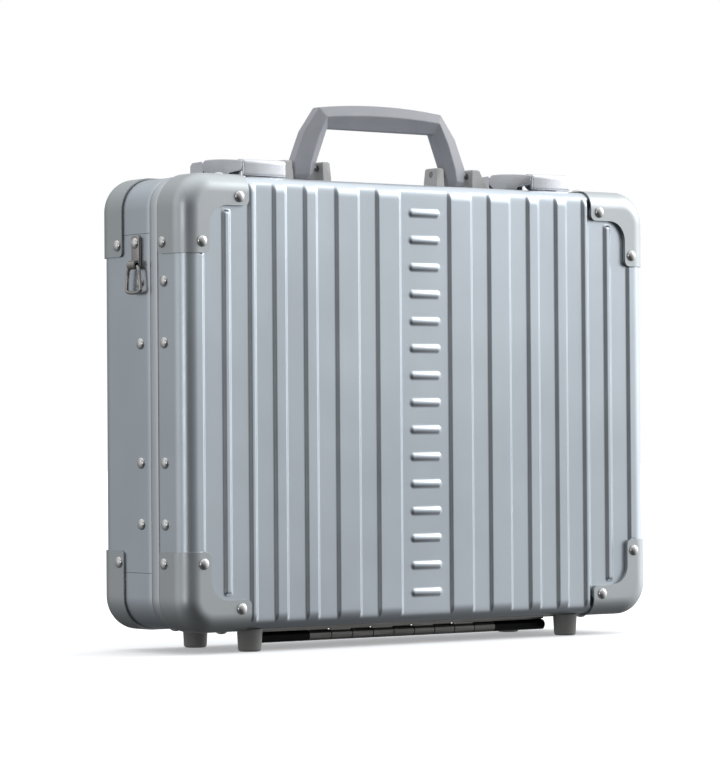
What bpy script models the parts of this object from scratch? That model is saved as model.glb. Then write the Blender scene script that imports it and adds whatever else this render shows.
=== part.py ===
"""Aluminium attache case, standing upright on four feet. Metres, +Z up.

The origin is on the surface it stands on, under the middle of the shell. +X runs to the right
along the width, -Y is the lid's side and +Y the base's side.
"""

import math

import bmesh
import bpy
from mathutils import Matrix, Vector

MM = 0.001

# Shell
WIDTH = 450 * MM
HEIGHT = 334 * MM
DEPTH = 109.2 * MM
LID_DEPTH = 33.6 * MM
FOOT_HEIGHT = 17 * MM
CORNER = 24 * MM
BEND = 12 * MM
WALL = 1.5 * MM
PANEL = 2.8 * MM
GAP = 0.3 * MM
HALF_GAP = 0.15 * MM

BOTTOM = FOOT_HEIGHT
TOP = FOOT_HEIGHT + HEIGHT
MIDDLE = FOOT_HEIGHT + HEIGHT / 2
FRONT = -DEPTH / 2
BACK = DEPTH / 2
PARTING = FRONT + LID_DEPTH

# Pressed channels of a panel: left and right edge of each, from the panel's middle
CHANNELS = [(46, 63.5), (84.6, 103), (114, 131.7), (142.6, 160), (165, 183), (188.5, 206.8)]
MIDDLE_CHANNEL = 24 * MM
CHANNEL_HALF = 156 * MM
OUTER_CHANNEL_HALF = 110 * MM
PRESS = 1.5 * MM
BARS = 15
BAR_PITCH = 20.65 * MM
BAR_LENGTH = 29 * MM
BAR_HEIGHT = 4.5 * MM

# Frame
FRAME_STRIP = 10.1 * MM
FRAME_LEG = 27 * MM
TONGUE = 6 * MM

# Corner caps and rivets
CAP_ARM = 58 * MM
CAP_WIDTH = 22.5 * MM
CAP_FILLET = 15.5 * MM
CAP_END = 4.5 * MM
CAP_FLANGE = 31 * MM
CAP_THICK = 1.2 * MM
RIVET = 4.3 * MM
RIVET_DOME = 2.3 * MM
RIVET_NEAR = 15.8 * MM
RIVET_FAR = 49.4 * MM
RIVET_FLANGE = 25.1 * MM
BASE_RIVET_DEPTH = 56 * MM
SIDE_RIVETS = (44 * MM, 89.1 * MM)

# Handle
PIVOT_RISE = 13 * MM
LEG_BOTTOM = 4 * MM
HANDLE_Y = 4 * MM
HANDLE_FACE = 4 * MM
HANDLE_RIDGE = 8.5 * MM
HANDLE_PIN = 2 * MM
HANDLE_HOLE = 2.15 * MM
EAR_INNER = (52 * MM, 59.3 * MM)
EAR_OUTER = (88 * MM, 96 * MM)
EAR_TALL = 18 * MM
EAR_HALF_DEPTH = 8.5 * MM
BUTTRESS_END = 106 * MM

# Latches
LATCH_X = 140 * MM
LATCH_HALF = 18 * MM
LATCH_PIN_Y = FRONT + 64.5 * MM
LATCH_PIN_RISE = 11 * MM
LATCH_PIN = 1.5 * MM
LATCH_NOSE_Y = FRONT + 17.5 * MM
LATCH_REAR_Y = FRONT + 87 * MM
HOUSING_Y = LATCH_PIN_Y + 6.2 * MM
LEVER_TAIL = 5 * MM
CHEEK = 1.8 * MM
DIAL_RADIUS = 6.6 * MM
DIAL_WIDTH = 4.6 * MM
DIAL_PITCH = 8 * MM
DIAL_RISE = 9 * MM
DIAL_Y = HOUSING_Y + 8.6 * MM
SHAFT = 1.5 * MM

# Hinge
HINGE_DROP = 8.3 * MM
KNUCKLE = 4 * MM
HINGE_HALF = 142 * MM
KNUCKLE_LENGTH = 20 * MM
KNUCKLES = 9
HINGE_PIN = 1.5 * MM
LEAF = 1.5 * MM

# Feet
FOOT_X = 154 * MM
FOOT_INSET = 19.4 * MM
FOOT_RADIUS = 9.7 * MM
FOOT_TIP = 8.75 * MM

# Strap rings
TAB_RISE = 118.2 * MM
TAB_DEPTH = 59 * MM
RING_RISE = 102 * MM
TAB_HALF = 4.8 * MM
TAB_TALL = 22 * MM
TAB_THICK = 2.2 * MM
EYE_RADIUS = 3.4 * MM
RING_STAND = 3.8 * MM
RING_WIRE = 1.4 * MM
RING_TALL = 20.5 * MM
RING_HALF_TOP = 7.6 * MM
RING_HALF_BOTTOM = 9.4 * MM

# Lid stays: pivots as (behind the parting line, above the hinge axis)
STAY_BASE = (48.9 * MM, 35.6 * MM)
STAY_LID = (-14.0 * MM, 78.7 * MM)
STAY_BASE_LINK = 79 * MM
STAY_LID_LINK = 60.6 * MM
STAY_HALF = 3.6 * MM
STAY_THICK = 1.5 * MM
STAY_PIN = 2.2 * MM
STAY_DISC = 5 * MM
STAY_BASE_OFF = 5.2 * MM
STAY_LID_OFF = 7.5 * MM
BRACKET_DISC = 2 * MM
STUD_END = 0.4 * MM

# Lining
LINING = 1.5 * MM
LINING_INSET = 3.6 * MM


# ---------------------------------------------------------------- scene and materials

def clear_scene():
    for old in list(bpy.data.objects):
        bpy.data.objects.remove(old, do_unlink=True)


def material(name, colour, roughness, metallic):
    made = bpy.data.materials.new(name)
    made.use_nodes = True
    shader = made.node_tree.nodes["Principled BSDF"]
    shader.inputs["Base Color"].default_value = (*colour, 1)
    shader.inputs["Roughness"].default_value = roughness
    shader.inputs["Metallic"].default_value = metallic
    return made


def all_materials():
    return {
        "shell": material("shell", (0.55, 0.57, 0.59), 0.38, 1.0),
        "frame": material("frame", (0.62, 0.64, 0.66), 0.3, 1.0),
        "cap": material("cap", (0.60, 0.62, 0.63), 0.42, 1.0),
        "latch": material("latch", (0.70, 0.71, 0.74), 0.2, 1.0),
        "steel": material("steel", (0.30, 0.29, 0.27), 0.3, 1.0),
        "grip": material("grip", (0.36, 0.36, 0.39), 0.5, 0.0),
        "bracket": material("bracket", (0.50, 0.49, 0.47), 0.45, 0.6),
        "foot": material("foot", (0.11, 0.11, 0.115), 0.6, 0.0),
        "seal": material("seal", (0.03, 0.03, 0.03), 0.7, 0.0),
        "lining": material("lining", (0.05, 0.05, 0.055), 0.9, 0.0),
        "dial": material("dial", (0.08, 0.08, 0.085), 0.4, 0.0),
    }


# ---------------------------------------------------------------- solids

def solid(name, bm, finish=None):
    """Object from a bmesh, with its faces turned outwards."""
    bmesh.ops.recalc_face_normals(bm, faces=bm.faces)
    mesh = bpy.data.meshes.new(name)
    bm.to_mesh(mesh)
    bm.free()
    made = bpy.data.objects.new(name, mesh)
    bpy.context.scene.collection.objects.link(made)
    if finish:
        mesh.materials.append(finish)
        mesh.shade_smooth()
        mesh.set_sharp_from_angle(angle=math.radians(35))
    return made


def loft(rings, around=False):
    """Bmesh through rings of equal point count: ends filled, or joined last to first."""
    bm = bmesh.new()
    verts = [[bm.verts.new(point) for point in ring] for ring in rings]
    pairs = list(zip(verts, verts[1:]))
    if around:
        pairs.append((verts[-1], verts[0]))
    else:
        bm.faces.new(verts[0])
        bm.faces.new(verts[-1])
    for low, high in pairs:
        count = len(low)
        for i in range(count):
            j = (i + 1) % count
            bm.faces.new((low[i], low[j], high[j], high[i]))
    return bm


def rounded(half_w, half_h, radius, steps=6):
    """Outline of a rectangle with round corners, counter-clockwise, about (0, 0)."""
    points = []
    for quarter, (sx, sz) in enumerate(((1, 1), (-1, 1), (-1, -1), (1, -1))):
        for step in range(steps + 1):
            angle = math.pi / 2 * (quarter + step / steps)
            points.append((sx * (half_w - radius) + radius * math.cos(angle),
                           sz * (half_h - radius) + radius * math.sin(angle)))
    return points


def shell_ring(inset, y):
    """The shell's outline, inset from its outer wall, at depth y."""
    outline = rounded(WIDTH / 2 - inset, HEIGHT / 2 - inset, CORNER - inset)
    return [(x, y, MIDDLE + z) for x, z in outline]


def circle(radius, steps, x=0.0, y=0.0):
    return [(x + radius * math.cos(2 * math.pi * i / steps),
             y + radius * math.sin(2 * math.pi * i / steps)) for i in range(steps)]


def along_x(outline, low, high):
    """Prism of a (y, z) outline from low to high along X."""
    return loft([[(x, y, z) for y, z in outline] for x in (low, high)])


def along_y(outline, low, high):
    """Prism of an (x, z) outline from low to high along Y."""
    return loft([[(x, y, z) for x, z in outline] for y in (low, high)])


def block(x, y, z):
    """Box between the low and high value of each axis."""
    return along_x([(y[0], z[0]), (y[1], z[0]), (y[1], z[1]), (y[0], z[1])], *x)


def joined(*parts):
    """One bmesh that holds several."""
    whole = bmesh.new()
    for part in parts:
        mesh = bpy.data.meshes.new("part")
        part.to_mesh(mesh)
        part.free()
        whole.from_mesh(mesh)
        bpy.data.meshes.remove(mesh)
    return whole


def carve(body, operation, *tools):
    """Apply Booleans to an object at once: each tool is a bmesh."""
    for tool in tools:
        cutter = solid("tool", tool)
        modifier = body.modifiers.new("carve", "BOOLEAN")
        modifier.operation = operation
        modifier.solver = "EXACT"
        modifier.object = cutter
        bpy.context.view_layer.update()
        graph = bpy.context.evaluated_depsgraph_get()
        result = bpy.data.meshes.new_from_object(body.evaluated_get(graph))
        body.modifiers.remove(modifier)
        body.data = result
        bpy.data.objects.remove(cutter, do_unlink=True)
    return body


def flipped(body, name, axes, about):
    """Mirror copy of an object across the planes through a point, along the named axes."""
    mesh = body.data.copy()
    signs = [-1 if axis in axes else 1 for axis in "XYZ"]
    centre = Vector(about)
    turn = Matrix.Translation(centre) @ Matrix.Diagonal((*signs, 1)) @ Matrix.Translation(-centre)
    mesh.transform(turn)
    if len(axes) % 2:
        mesh.flip_normals()
    made = bpy.data.objects.new(name, mesh)
    bpy.context.scene.collection.objects.link(made)
    return made


def pivot_at(body, x, y, z):
    """Move an object's origin to its axis and leave its shape where it is."""
    body.data.transform(Matrix.Translation((-x, -y, -z)))
    body.location = (x, y, z)
    return body


# ---------------------------------------------------------------- shells, frame and lining

def tray(y_open, y_shut, inset, wall, floor, steps=4):
    """Pressed half: a round-edged box from its open rim to its closed panel."""
    inward = 1 if y_open > y_shut else -1
    bend = BEND - inset
    rings = []
    inner_inset = inset + wall
    for step in range(steps, -1, -1):
        angle = math.pi / 2 * step / steps
        rings.append(shell_ring(inset + bend * (1 - math.cos(angle)),
                                y_shut + inward * bend * (1 - math.sin(angle))))
    rings.append(shell_ring(inset, y_open))
    rings.append(shell_ring(inner_inset, y_open))
    inner_bend = bend - wall
    for step in range(steps + 1):
        angle = math.pi / 2 * step / steps
        rings.append(shell_ring(inner_inset + inner_bend * (1 - math.cos(angle)),
                                y_shut + inward * (floor + inner_bend * (1 - math.sin(angle)))))
    return loft(rings)


def channel_cutters(y_panel, outward):
    """Pressed channels of one panel, with the ladder of short bars left standing in the middle."""
    low = y_panel - outward * PRESS
    high = y_panel + outward * 2 * MM
    parts = []
    for number, (left, right) in enumerate(CHANNELS):
        half = OUTER_CHANNEL_HALF if number == len(CHANNELS) - 1 else CHANNEL_HALF
        for side in (1, -1):
            centre = side * (left + right) / 2 * MM
            outline = rounded((right - left) / 2 * MM, half, 4 * MM, 2)
            parts.append(along_y([(centre + x, MIDDLE + z) for x, z in outline], low, high))
    ladder = solid("ladder", along_y(
        [(x, MIDDLE + z) for x, z in rounded(MIDDLE_CHANNEL, CHANNEL_HALF, 4 * MM, 2)], low, high))
    bars = []
    for number in range(BARS):
        rise = MIDDLE + (number - (BARS - 1) / 2) * BAR_PITCH
        outline = rounded(BAR_LENGTH / 2, BAR_HEIGHT / 2, BAR_HEIGHT * 0.45, 2)
        bars.append(along_y([(x, rise + z) for x, z in outline],
                            min(low, high) - 1 * MM, max(low, high) + 1 * MM))
    carve(ladder, "DIFFERENCE", joined(*bars))
    middle = bmesh.new()
    middle.from_mesh(ladder.data)
    bpy.data.objects.remove(ladder, do_unlink=True)
    return joined(middle, *parts)


def dome(radius, rise, sink, steps=10):
    """Rivet head about the origin, pointing along +Z, with its skirt sunk below it."""
    rings = [[(x, y, z) for x, y in circle(radius * size, steps)]
             for size, z in ((1, -sink), (1, 0.1 * rise), (0.8, 0.65 * rise), (0.4, rise))]
    return loft(rings)


def dome_at(place, outward):
    """Rivet head standing on a wall, along an outward direction."""
    bm = dome(RIVET, RIVET_DOME, 0.5 * MM)
    turn = Vector((0, 0, 1)).rotation_difference(Vector(outward)).to_matrix().to_4x4()
    bmesh.ops.transform(bm, matrix=Matrix.Translation(place) @ turn, verts=bm.verts)
    return bm


def side_rivets(y):
    parts = []
    for side in (1, -1):
        for rise in SIDE_RIVETS:
            for up in (1, -1):
                place = (side * WIDTH / 2, y, MIDDLE + up * rise)
                parts.append(dome_at(place, (side, 0, 0)))
    return joined(*parts)


def make_shells(finish):
    lid = solid("lid_shell", tray(PARTING - HALF_GAP, FRONT, 0, WALL, PANEL), finish["shell"])
    carve(lid, "DIFFERENCE", channel_cutters(FRONT, -1))
    carve(lid, "UNION", side_rivets(FRONT + RIVET_FLANGE))
    rim = PARTING + FRAME_STRIP + HALF_GAP
    base = solid("base_shell", tray(rim, BACK, 0, WALL, PANEL), finish["shell"])
    carve(base, "DIFFERENCE", channel_cutters(BACK, 1))
    carve(base, "UNION", side_rivets(FRONT + BASE_RIVET_DEPTH))


def frame_ring(name, section, finish):
    """Closed extrusion round the case: section holds (inset, depth from the parting line) in mm."""
    rings = [shell_ring(inset * MM, PARTING + depth * MM) for inset, depth in section]
    return solid(name, loft(rings, around=True), finish)


def make_frames(finish):
    strip = FRAME_STRIP / MM - 0.15
    leg = FRAME_LEG / MM
    frame_ring("base_frame", [(0, 0.15), (0, strip), (1.8, strip), (1.8, leg), (3.3, leg),
                              (3.3, 3), (7, 3), (7, -TONGUE / MM), (5.5, -TONGUE / MM),
                              (5.5, 0.15)], finish["frame"])
    frame_ring("lid_frame", [(1.8, -2.4), (1.8, -16), (3.3, -16), (3.3, -2.4)], finish["frame"])
    frame_ring("gasket", [(2.1, -0.15), (2.1, -2.1), (5.1, -2.1), (5.1, -0.15)], finish["seal"])


def make_linings(finish):
    floor = PANEL + GAP
    solid("base_lining", tray(PARTING + 3.3 * MM, BACK - floor, LINING_INSET, LINING, LINING),
          finish["lining"])
    solid("lid_lining", tray(PARTING - 7 * MM, FRONT + floor, LINING_INSET, LINING, LINING),
          finish["lining"])
    inside = FRONT + floor + LINING + GAP
    pocket = [(x, MIDDLE - 10 * MM + z) for x, z in rounded(190 * MM, 125 * MM, 10 * MM, 3)]
    solid("lid_pocket", along_y(pocket, inside, inside + 3 * MM), finish["lining"])


# ---------------------------------------------------------------- corner caps

def cap_plan():
    """Plan of the upper right cap as (x, z): two arms that meet in a hollow fillet."""
    x_out = WIDTH / 2 + 5 * MM
    z_out = MIDDLE + HEIGHT / 2 + 5 * MM
    x_in = WIDTH / 2 - CAP_WIDTH
    z_in = MIDDLE + HEIGHT / 2 - CAP_WIDTH
    x_end = WIDTH / 2 - CAP_ARM
    z_end = MIDDLE + HEIGHT / 2 - CAP_ARM
    points = [(x_out, z_end), (x_out, z_out), (x_end, z_out)]
    steps = 3
    for step in range(steps + 1):
        angle = math.pi + math.pi / 2 * step / steps
        points.append((x_end + CAP_END * (1 + math.cos(angle)),
                       z_in + CAP_END * (1 + math.sin(angle))))
    for step in range(steps + 2):
        angle = math.pi / 2 * (1 - step / (steps + 1))
        points.append((x_in - CAP_FILLET + CAP_FILLET * math.cos(angle),
                       z_in - CAP_FILLET + CAP_FILLET * math.sin(angle)))
    for step in range(steps + 1):
        angle = math.pi + math.pi / 2 * step / steps
        points.append((x_in + CAP_END * (1 + math.cos(angle)),
                       z_end + CAP_END * (1 + math.sin(angle))))
    return points


def make_caps(finish):
    stand = GAP + CAP_THICK
    y_face = FRONT - stand
    first = solid("cap_lid_top_right",
                  tray(FRONT + CAP_FLANGE, y_face, -stand, CAP_THICK, CAP_THICK), finish["cap"])
    carve(first, "INTERSECT", along_y(cap_plan(), y_face - 5 * MM, FRONT + CAP_FLANGE + 1 * MM))
    near_x = WIDTH / 2 - RIVET_NEAR
    near_z = TOP - RIVET_NEAR
    far_x = WIDTH / 2 - RIVET_FAR
    far_z = TOP - RIVET_FAR
    y_side = FRONT + RIVET_FLANGE
    carve(first, "UNION", joined(
        dome_at((near_x, y_face, far_z), (0, -1, 0)),
        dome_at((far_x, y_face, near_z), (0, -1, 0)),
        dome_at((WIDTH / 2 + stand, y_side, far_z), (1, 0, 0)),
        dome_at((far_x, y_side, TOP + stand), (0, 0, 1))))
    centre = (0, 0, MIDDLE)
    for half, across in (("lid", ""), ("base", "Y")):
        for end, upright in (("top", ""), ("bottom", "Z")):
            for side, wide in (("right", ""), ("left", "X")):
                axes = wide + across + upright
                if axes:
                    flipped(first, f"cap_{half}_{end}_{side}", axes, centre)


# ---------------------------------------------------------------- handle

def handle_station(x):
    """Outer, ridge and inner height of the grip over its middle stretch, above the shell."""
    outer = 60.2 * MM + 3.5 * MM * (1 - (x / (60 * MM)) ** 2)
    ridge = 52.8 * MM + 2.6 * MM * (1 - (x / (55.3 * MM)) ** 2)
    return outer, ridge, 44.2 * MM


def make_handle(finish):
    """Six-sided grip: each ring holds the outer face, the ridges and the inner face."""
    leg_end = LEG_BOTTOM / MM
    full = leg_end + 4
    right = [((82.4, leg_end), (73, leg_end), (67, leg_end), HANDLE_FACE),
             ((83.2, full), (72.4, full), (66.2, full), HANDLE_RIDGE),
             ((84, 18), (70.5, 18), (62.6, 18), HANDLE_RIDGE),
             ((74.3, 41), (63.6, 37), (54.8, 37.5), HANDLE_RIDGE),
             ((60, 60.2), (55.3, 52.8), (52.2, 44.2), HANDLE_RIDGE)]
    stations = []
    for *row, ridge in right:
        stations.append(([(x * MM, z * MM) for x, z in row], ridge))
    for x in (42, 28, 14, 0):
        stations.append(([(x * MM, height) for height in handle_station(x * MM)], HANDLE_RIDGE))
    stations += [([(-x, z) for x, z in row], ridge) for row, ridge in reversed(stations[:-1])]
    rings = []
    for (outer, ridge, inner), half_ridge in stations:
        rings.append([(x, HANDLE_Y + y, TOP + z) for (x, z), y in (
            (outer, HANDLE_FACE), (outer, -HANDLE_FACE), (ridge, -half_ridge),
            (inner, -HANDLE_FACE), (inner, HANDLE_FACE), (ridge, half_ridge))])
    grip = solid("handle", loft(rings), finish["grip"])
    hole = circle(HANDLE_HOLE, 16, HANDLE_Y, TOP + PIVOT_RISE)
    carve(grip, "DIFFERENCE", joined(along_x(hole, -95 * MM, -50 * MM),
                                     along_x(hole, 50 * MM, 95 * MM)))
    pivot_at(grip, 0, HANDLE_Y, TOP + PIVOT_RISE)


def ear(x_low, x_high, x_foot, name):
    """Upright ear, narrower at its top; x_foot is where its outer side reaches the plate."""
    taper = 1 * MM
    rings = []
    foot = (x_low, x_foot, EAR_HALF_DEPTH, 0.5 * MM)
    shoulder = (x_low, max(x_high, x_foot - 4 * MM), EAR_HALF_DEPTH - 0.3 * MM, 7 * MM)
    head = (x_low + 0.8 * MM, x_high, EAR_HALF_DEPTH - taper, EAR_TALL - 1 * MM)
    crown = (x_low + 1.6 * MM, x_high - 1 * MM, EAR_HALF_DEPTH - 2 * taper, EAR_TALL)
    for low, high, half, rise in (foot, shoulder, head, crown):
        rings.append([(low, HANDLE_Y - half, TOP + rise), (high, HANDLE_Y - half, TOP + rise),
                      (high, HANDLE_Y + half, TOP + rise), (low, HANDLE_Y + half, TOP + rise)])
    return solid(name, loft(rings))


def make_brackets(finish):
    across = (HANDLE_Y - EAR_HALF_DEPTH, HANDLE_Y + EAR_HALF_DEPTH)
    plate = block((EAR_INNER[0], BUTTRESS_END), across, (TOP + GAP, TOP + 2.5 * MM))
    right = solid("handle_bracket_right", plate, finish["bracket"])
    for low, high, foot in ((*EAR_INNER, EAR_INNER[1]), (*EAR_OUTER, BUTTRESS_END - 1 * MM)):
        part = ear(low, high, foot, "ear")
        tool = bmesh.new()
        tool.from_mesh(part.data)
        bpy.data.objects.remove(part, do_unlink=True)
        carve(right, "UNION", tool)
    bore = circle(HANDLE_PIN + GAP, 16, HANDLE_Y, TOP + PIVOT_RISE)
    carve(right, "DIFFERENCE", along_x(bore, EAR_INNER[0] - 2 * MM, BUTTRESS_END + 2 * MM))
    flipped(right, "handle_bracket_left", "X", (0, 0, 0))
    pin = circle(HANDLE_PIN, 16, HANDLE_Y, TOP + PIVOT_RISE)
    start = EAR_INNER[0] + 0.5 * MM
    stop = EAR_OUTER[1] - 0.5 * MM
    right_pin = solid("handle_pin_right", along_x(pin, start, stop), finish["steel"])
    flipped(right_pin, "handle_pin_left", "X", (0, 0, 0))


# ---------------------------------------------------------------- latches

def lever_outline():
    """Side of a lever as (y, z): nose over the lid, crown, and a round tail about its pin."""
    pin_z = TOP + LATCH_PIN_RISE
    nose = LATCH_NOSE_Y
    points = [(nose, TOP + 5 * MM), (nose, TOP + 12.2 * MM), (nose + 1.2 * MM, TOP + 13.2 * MM),
              (FRONT + 30 * MM, TOP + 15 * MM), (FRONT + 45 * MM, TOP + 16 * MM)]
    steps = 6
    for step in range(steps + 1):
        angle = math.radians(90 - 150 * step / steps)
        points.append((LATCH_PIN_Y + LEVER_TAIL * math.cos(angle),
                       pin_z + LEVER_TAIL * math.sin(angle)))
    points += [(LATCH_PIN_Y - 4 * MM, TOP + 2.4 * MM), (PARTING + 2 * MM, TOP + 2.4 * MM),
               (PARTING + 1 * MM, TOP + 5 * MM)]
    return points


def make_lever(centre, finish, name):
    body = solid(name, along_x(lever_outline(), centre - LATCH_HALF, centre + LATCH_HALF),
                 finish["latch"])
    room = [(LATCH_NOSE_Y + 7 * MM, TOP), (LATCH_NOSE_Y + 7 * MM, TOP + 11.5 * MM),
            (FRONT + 45 * MM, TOP + 14.3 * MM), (LATCH_PIN_Y + 8 * MM, TOP + 14.3 * MM),
            (LATCH_PIN_Y + 8 * MM, TOP)]
    half = LATCH_HALF - CHEEK
    bore = circle(LATCH_PIN + HALF_GAP, 12, LATCH_PIN_Y, TOP + LATCH_PIN_RISE)
    carve(body, "DIFFERENCE", along_x(room, centre - half, centre + half))
    carve(body, "DIFFERENCE", along_x(bore, centre - LATCH_HALF - 2 * MM,
                                      centre + LATCH_HALF + 2 * MM))
    pivot_at(body, centre, LATCH_PIN_Y, TOP + LATCH_PIN_RISE)


def make_housing(centre, finish, side):
    """Fixed latch body: foot plate, pin lug and the rear housing with its dial slots."""
    half = LATCH_HALF - CHEEK - GAP
    plate = block((centre - half, centre + half), (PARTING + 1.5 * MM, LATCH_REAR_Y - 1 * MM),
                  (TOP + GAP, TOP + 1.8 * MM))
    body = solid(f"latch_body_{side}", plate, finish["latch"])
    pin_z = TOP + LATCH_PIN_RISE
    lug = [(LATCH_PIN_Y - 3 * MM, TOP + 1 * MM), (LATCH_PIN_Y + 3 * MM, TOP + 1 * MM)]
    lug += [(LATCH_PIN_Y + 3 * MM * math.cos(a), pin_z + 3 * MM * math.sin(a))
            for a in (0, math.pi / 4, math.pi / 2, 3 * math.pi / 4, math.pi)]
    rear = LATCH_REAR_Y
    box = [(HOUSING_Y, TOP + GAP), (rear, TOP + GAP), (rear, TOP + 12.5 * MM),
           (rear - 2.5 * MM, TOP + 15 * MM), (HOUSING_Y + 1 * MM, TOP + 15.4 * MM),
           (HOUSING_Y, TOP + 14.4 * MM)]
    carve(body, "UNION", along_x(box, centre - LATCH_HALF, centre + LATCH_HALF))
    carve(body, "UNION", along_x(lug, centre - 9 * MM, centre + 9 * MM))
    carve(body, "DIFFERENCE", along_x(
        circle(LATCH_PIN + GAP, 12, LATCH_PIN_Y, pin_z), centre - 10 * MM, centre + 10 * MM))
    for number in (-1, 0, 1):
        middle = centre + number * DIAL_PITCH
        slot = DIAL_WIDTH / 2 + GAP
        reach = DIAL_RADIUS + 0.5 * MM
        carve(body, "DIFFERENCE", block((middle - slot, middle + slot),
                                        (DIAL_Y - reach, DIAL_Y + reach),
                                        (TOP + DIAL_RISE - reach, TOP + 20 * MM)))
    shaft_half = 1.5 * DIAL_PITCH + 1 * MM
    carve(body, "DIFFERENCE", along_x(circle(SHAFT + GAP, 12, DIAL_Y, TOP + DIAL_RISE),
                                      centre - shaft_half - GAP, centre + shaft_half + GAP))
    solid(f"dial_shaft_{side}", along_x(circle(SHAFT, 12, DIAL_Y, TOP + DIAL_RISE),
                                        centre - shaft_half, centre + shaft_half),
          finish["steel"])
    solid(f"latch_pin_{side}", along_x(circle(LATCH_PIN, 12, LATCH_PIN_Y, pin_z),
                                       centre - LATCH_HALF + 0.3 * MM,
                                       centre + LATCH_HALF - 0.3 * MM), finish["steel"])


def make_dials(centre, finish, side):
    """Three wheels with ten grip flats each, free on their shaft."""
    for number in (-1, 0, 1):
        middle = centre + number * DIAL_PITCH
        rim = []
        for step in range(20):
            radius = DIAL_RADIUS - (0.5 * MM if step % 2 else 0)
            angle = 2 * math.pi * step / 20
            rim.append((DIAL_Y + radius * math.cos(angle),
                        TOP + DIAL_RISE + radius * math.sin(angle)))
        bore = circle(SHAFT + HALF_GAP, 20, DIAL_Y, TOP + DIAL_RISE)
        low = middle - DIAL_WIDTH / 2
        high = middle + DIAL_WIDTH / 2
        rings = [[(x, y, z) for y, z in outline]
                 for outline, x in ((rim, low), (rim, high), (bore, high), (bore, low))]
        wheel = solid(f"dial_{side}_{number + 2}", loft(rings, around=True), finish["dial"])
        pivot_at(wheel, middle, DIAL_Y, TOP + DIAL_RISE)


def make_keeper(centre, finish, side):
    """Catch on the lid: foot plate and an upright lip under the lever's nose."""
    foot = (LATCH_NOSE_Y + 2 * MM, LATCH_NOSE_Y + 13 * MM)
    lip = (LATCH_NOSE_Y + 9 * MM, LATCH_NOSE_Y + 11 * MM)
    body = solid(f"latch_keeper_{side}", block((centre - 9 * MM, centre + 9 * MM), foot,
                                               (TOP + GAP, TOP + 1.5 * MM)), finish["latch"])
    carve(body, "UNION", block((centre - 7 * MM, centre + 7 * MM), lip,
                               (TOP + 1 * MM, TOP + 4.4 * MM)))


def make_latches(finish):
    for side, sign in (("right", 1), ("left", -1)):
        centre = sign * LATCH_X
        make_lever(centre, finish, f"latch_lever_{side}")
        make_housing(centre, finish, side)
        make_dials(centre, finish, side)
        make_keeper(centre, finish, side)


# ---------------------------------------------------------------- hinge and feet

def make_hinge(finish):
    """Piano hinge: each leaf has a flange, a web and every second knuckle; the base's leaf
    also carries a long barrel at each end."""
    axis_z = BOTTOM - HINGE_DROP
    start = -KNUCKLES * KNUCKLE_LENGTH / 2
    clearance = 0.4 * MM
    for name, sign, first in (("hinge_leaf_base", 1, 0), ("hinge_leaf_lid", -1, 1)):
        near = PARTING + sign * 0.4 * MM
        web = PARTING + sign * (0.4 * MM + LEAF)
        far = PARTING + sign * 14 * MM
        flange = BOTTOM - GAP
        outline = [(near, flange), (far, flange), (far, flange - LEAF), (web, flange - LEAF),
                   (web, axis_z + 4.6 * MM), (near, axis_z + 4.6 * MM)]
        body = solid(name, along_x(outline, -HINGE_HALF, HINGE_HALF), finish["frame"])
        parts = []
        for number in range(first, KNUCKLES, 2):
            low = start + number * KNUCKLE_LENGTH + clearance
            high = start + (number + 1) * KNUCKLE_LENGTH - clearance
            if number == 0:
                low = -HINGE_HALF
            if number == KNUCKLES - 1:
                high = HINGE_HALF
            tab = [(near, axis_z), (web, axis_z), (web, axis_z + 5 * MM), (near, axis_z + 5 * MM)]
            carve(body, "UNION", along_x(tab, low, high))
            parts.append(along_x(circle(KNUCKLE, 14, PARTING, axis_z), low, high))
        carve(body, "UNION", joined(*parts))
        bore = circle(HINGE_PIN + HALF_GAP, 12, PARTING, axis_z)
        carve(body, "DIFFERENCE", along_x(bore, -HINGE_HALF - 5 * MM, HINGE_HALF + 5 * MM))
    pin = circle(HINGE_PIN, 12, PARTING, axis_z)
    solid("hinge_pin", along_x(pin, 1 * MM - HINGE_HALF, HINGE_HALF - 1 * MM), finish["steel"])


def make_feet(finish):
    """Tapered round foot with a rounded lower edge, fixed under each shell half."""
    steps = 18
    for half, y in (("lid", FRONT + FOOT_INSET), ("base", BACK - FOOT_INSET)):
        for side, x in (("right", FOOT_X), ("left", -FOOT_X)):
            rings = [[(px, py, z) for px, py in circle(radius, steps, x, y)]
                     for radius, z in ((FOOT_TIP - 1.4 * MM, 0), (FOOT_TIP, 1.6 * MM),
                                       (FOOT_RADIUS, BOTTOM - GAP))]
            solid(f"foot_{half}_{side}", loft(rings), finish["foot"])


# ---------------------------------------------------------------- strap rings

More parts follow.
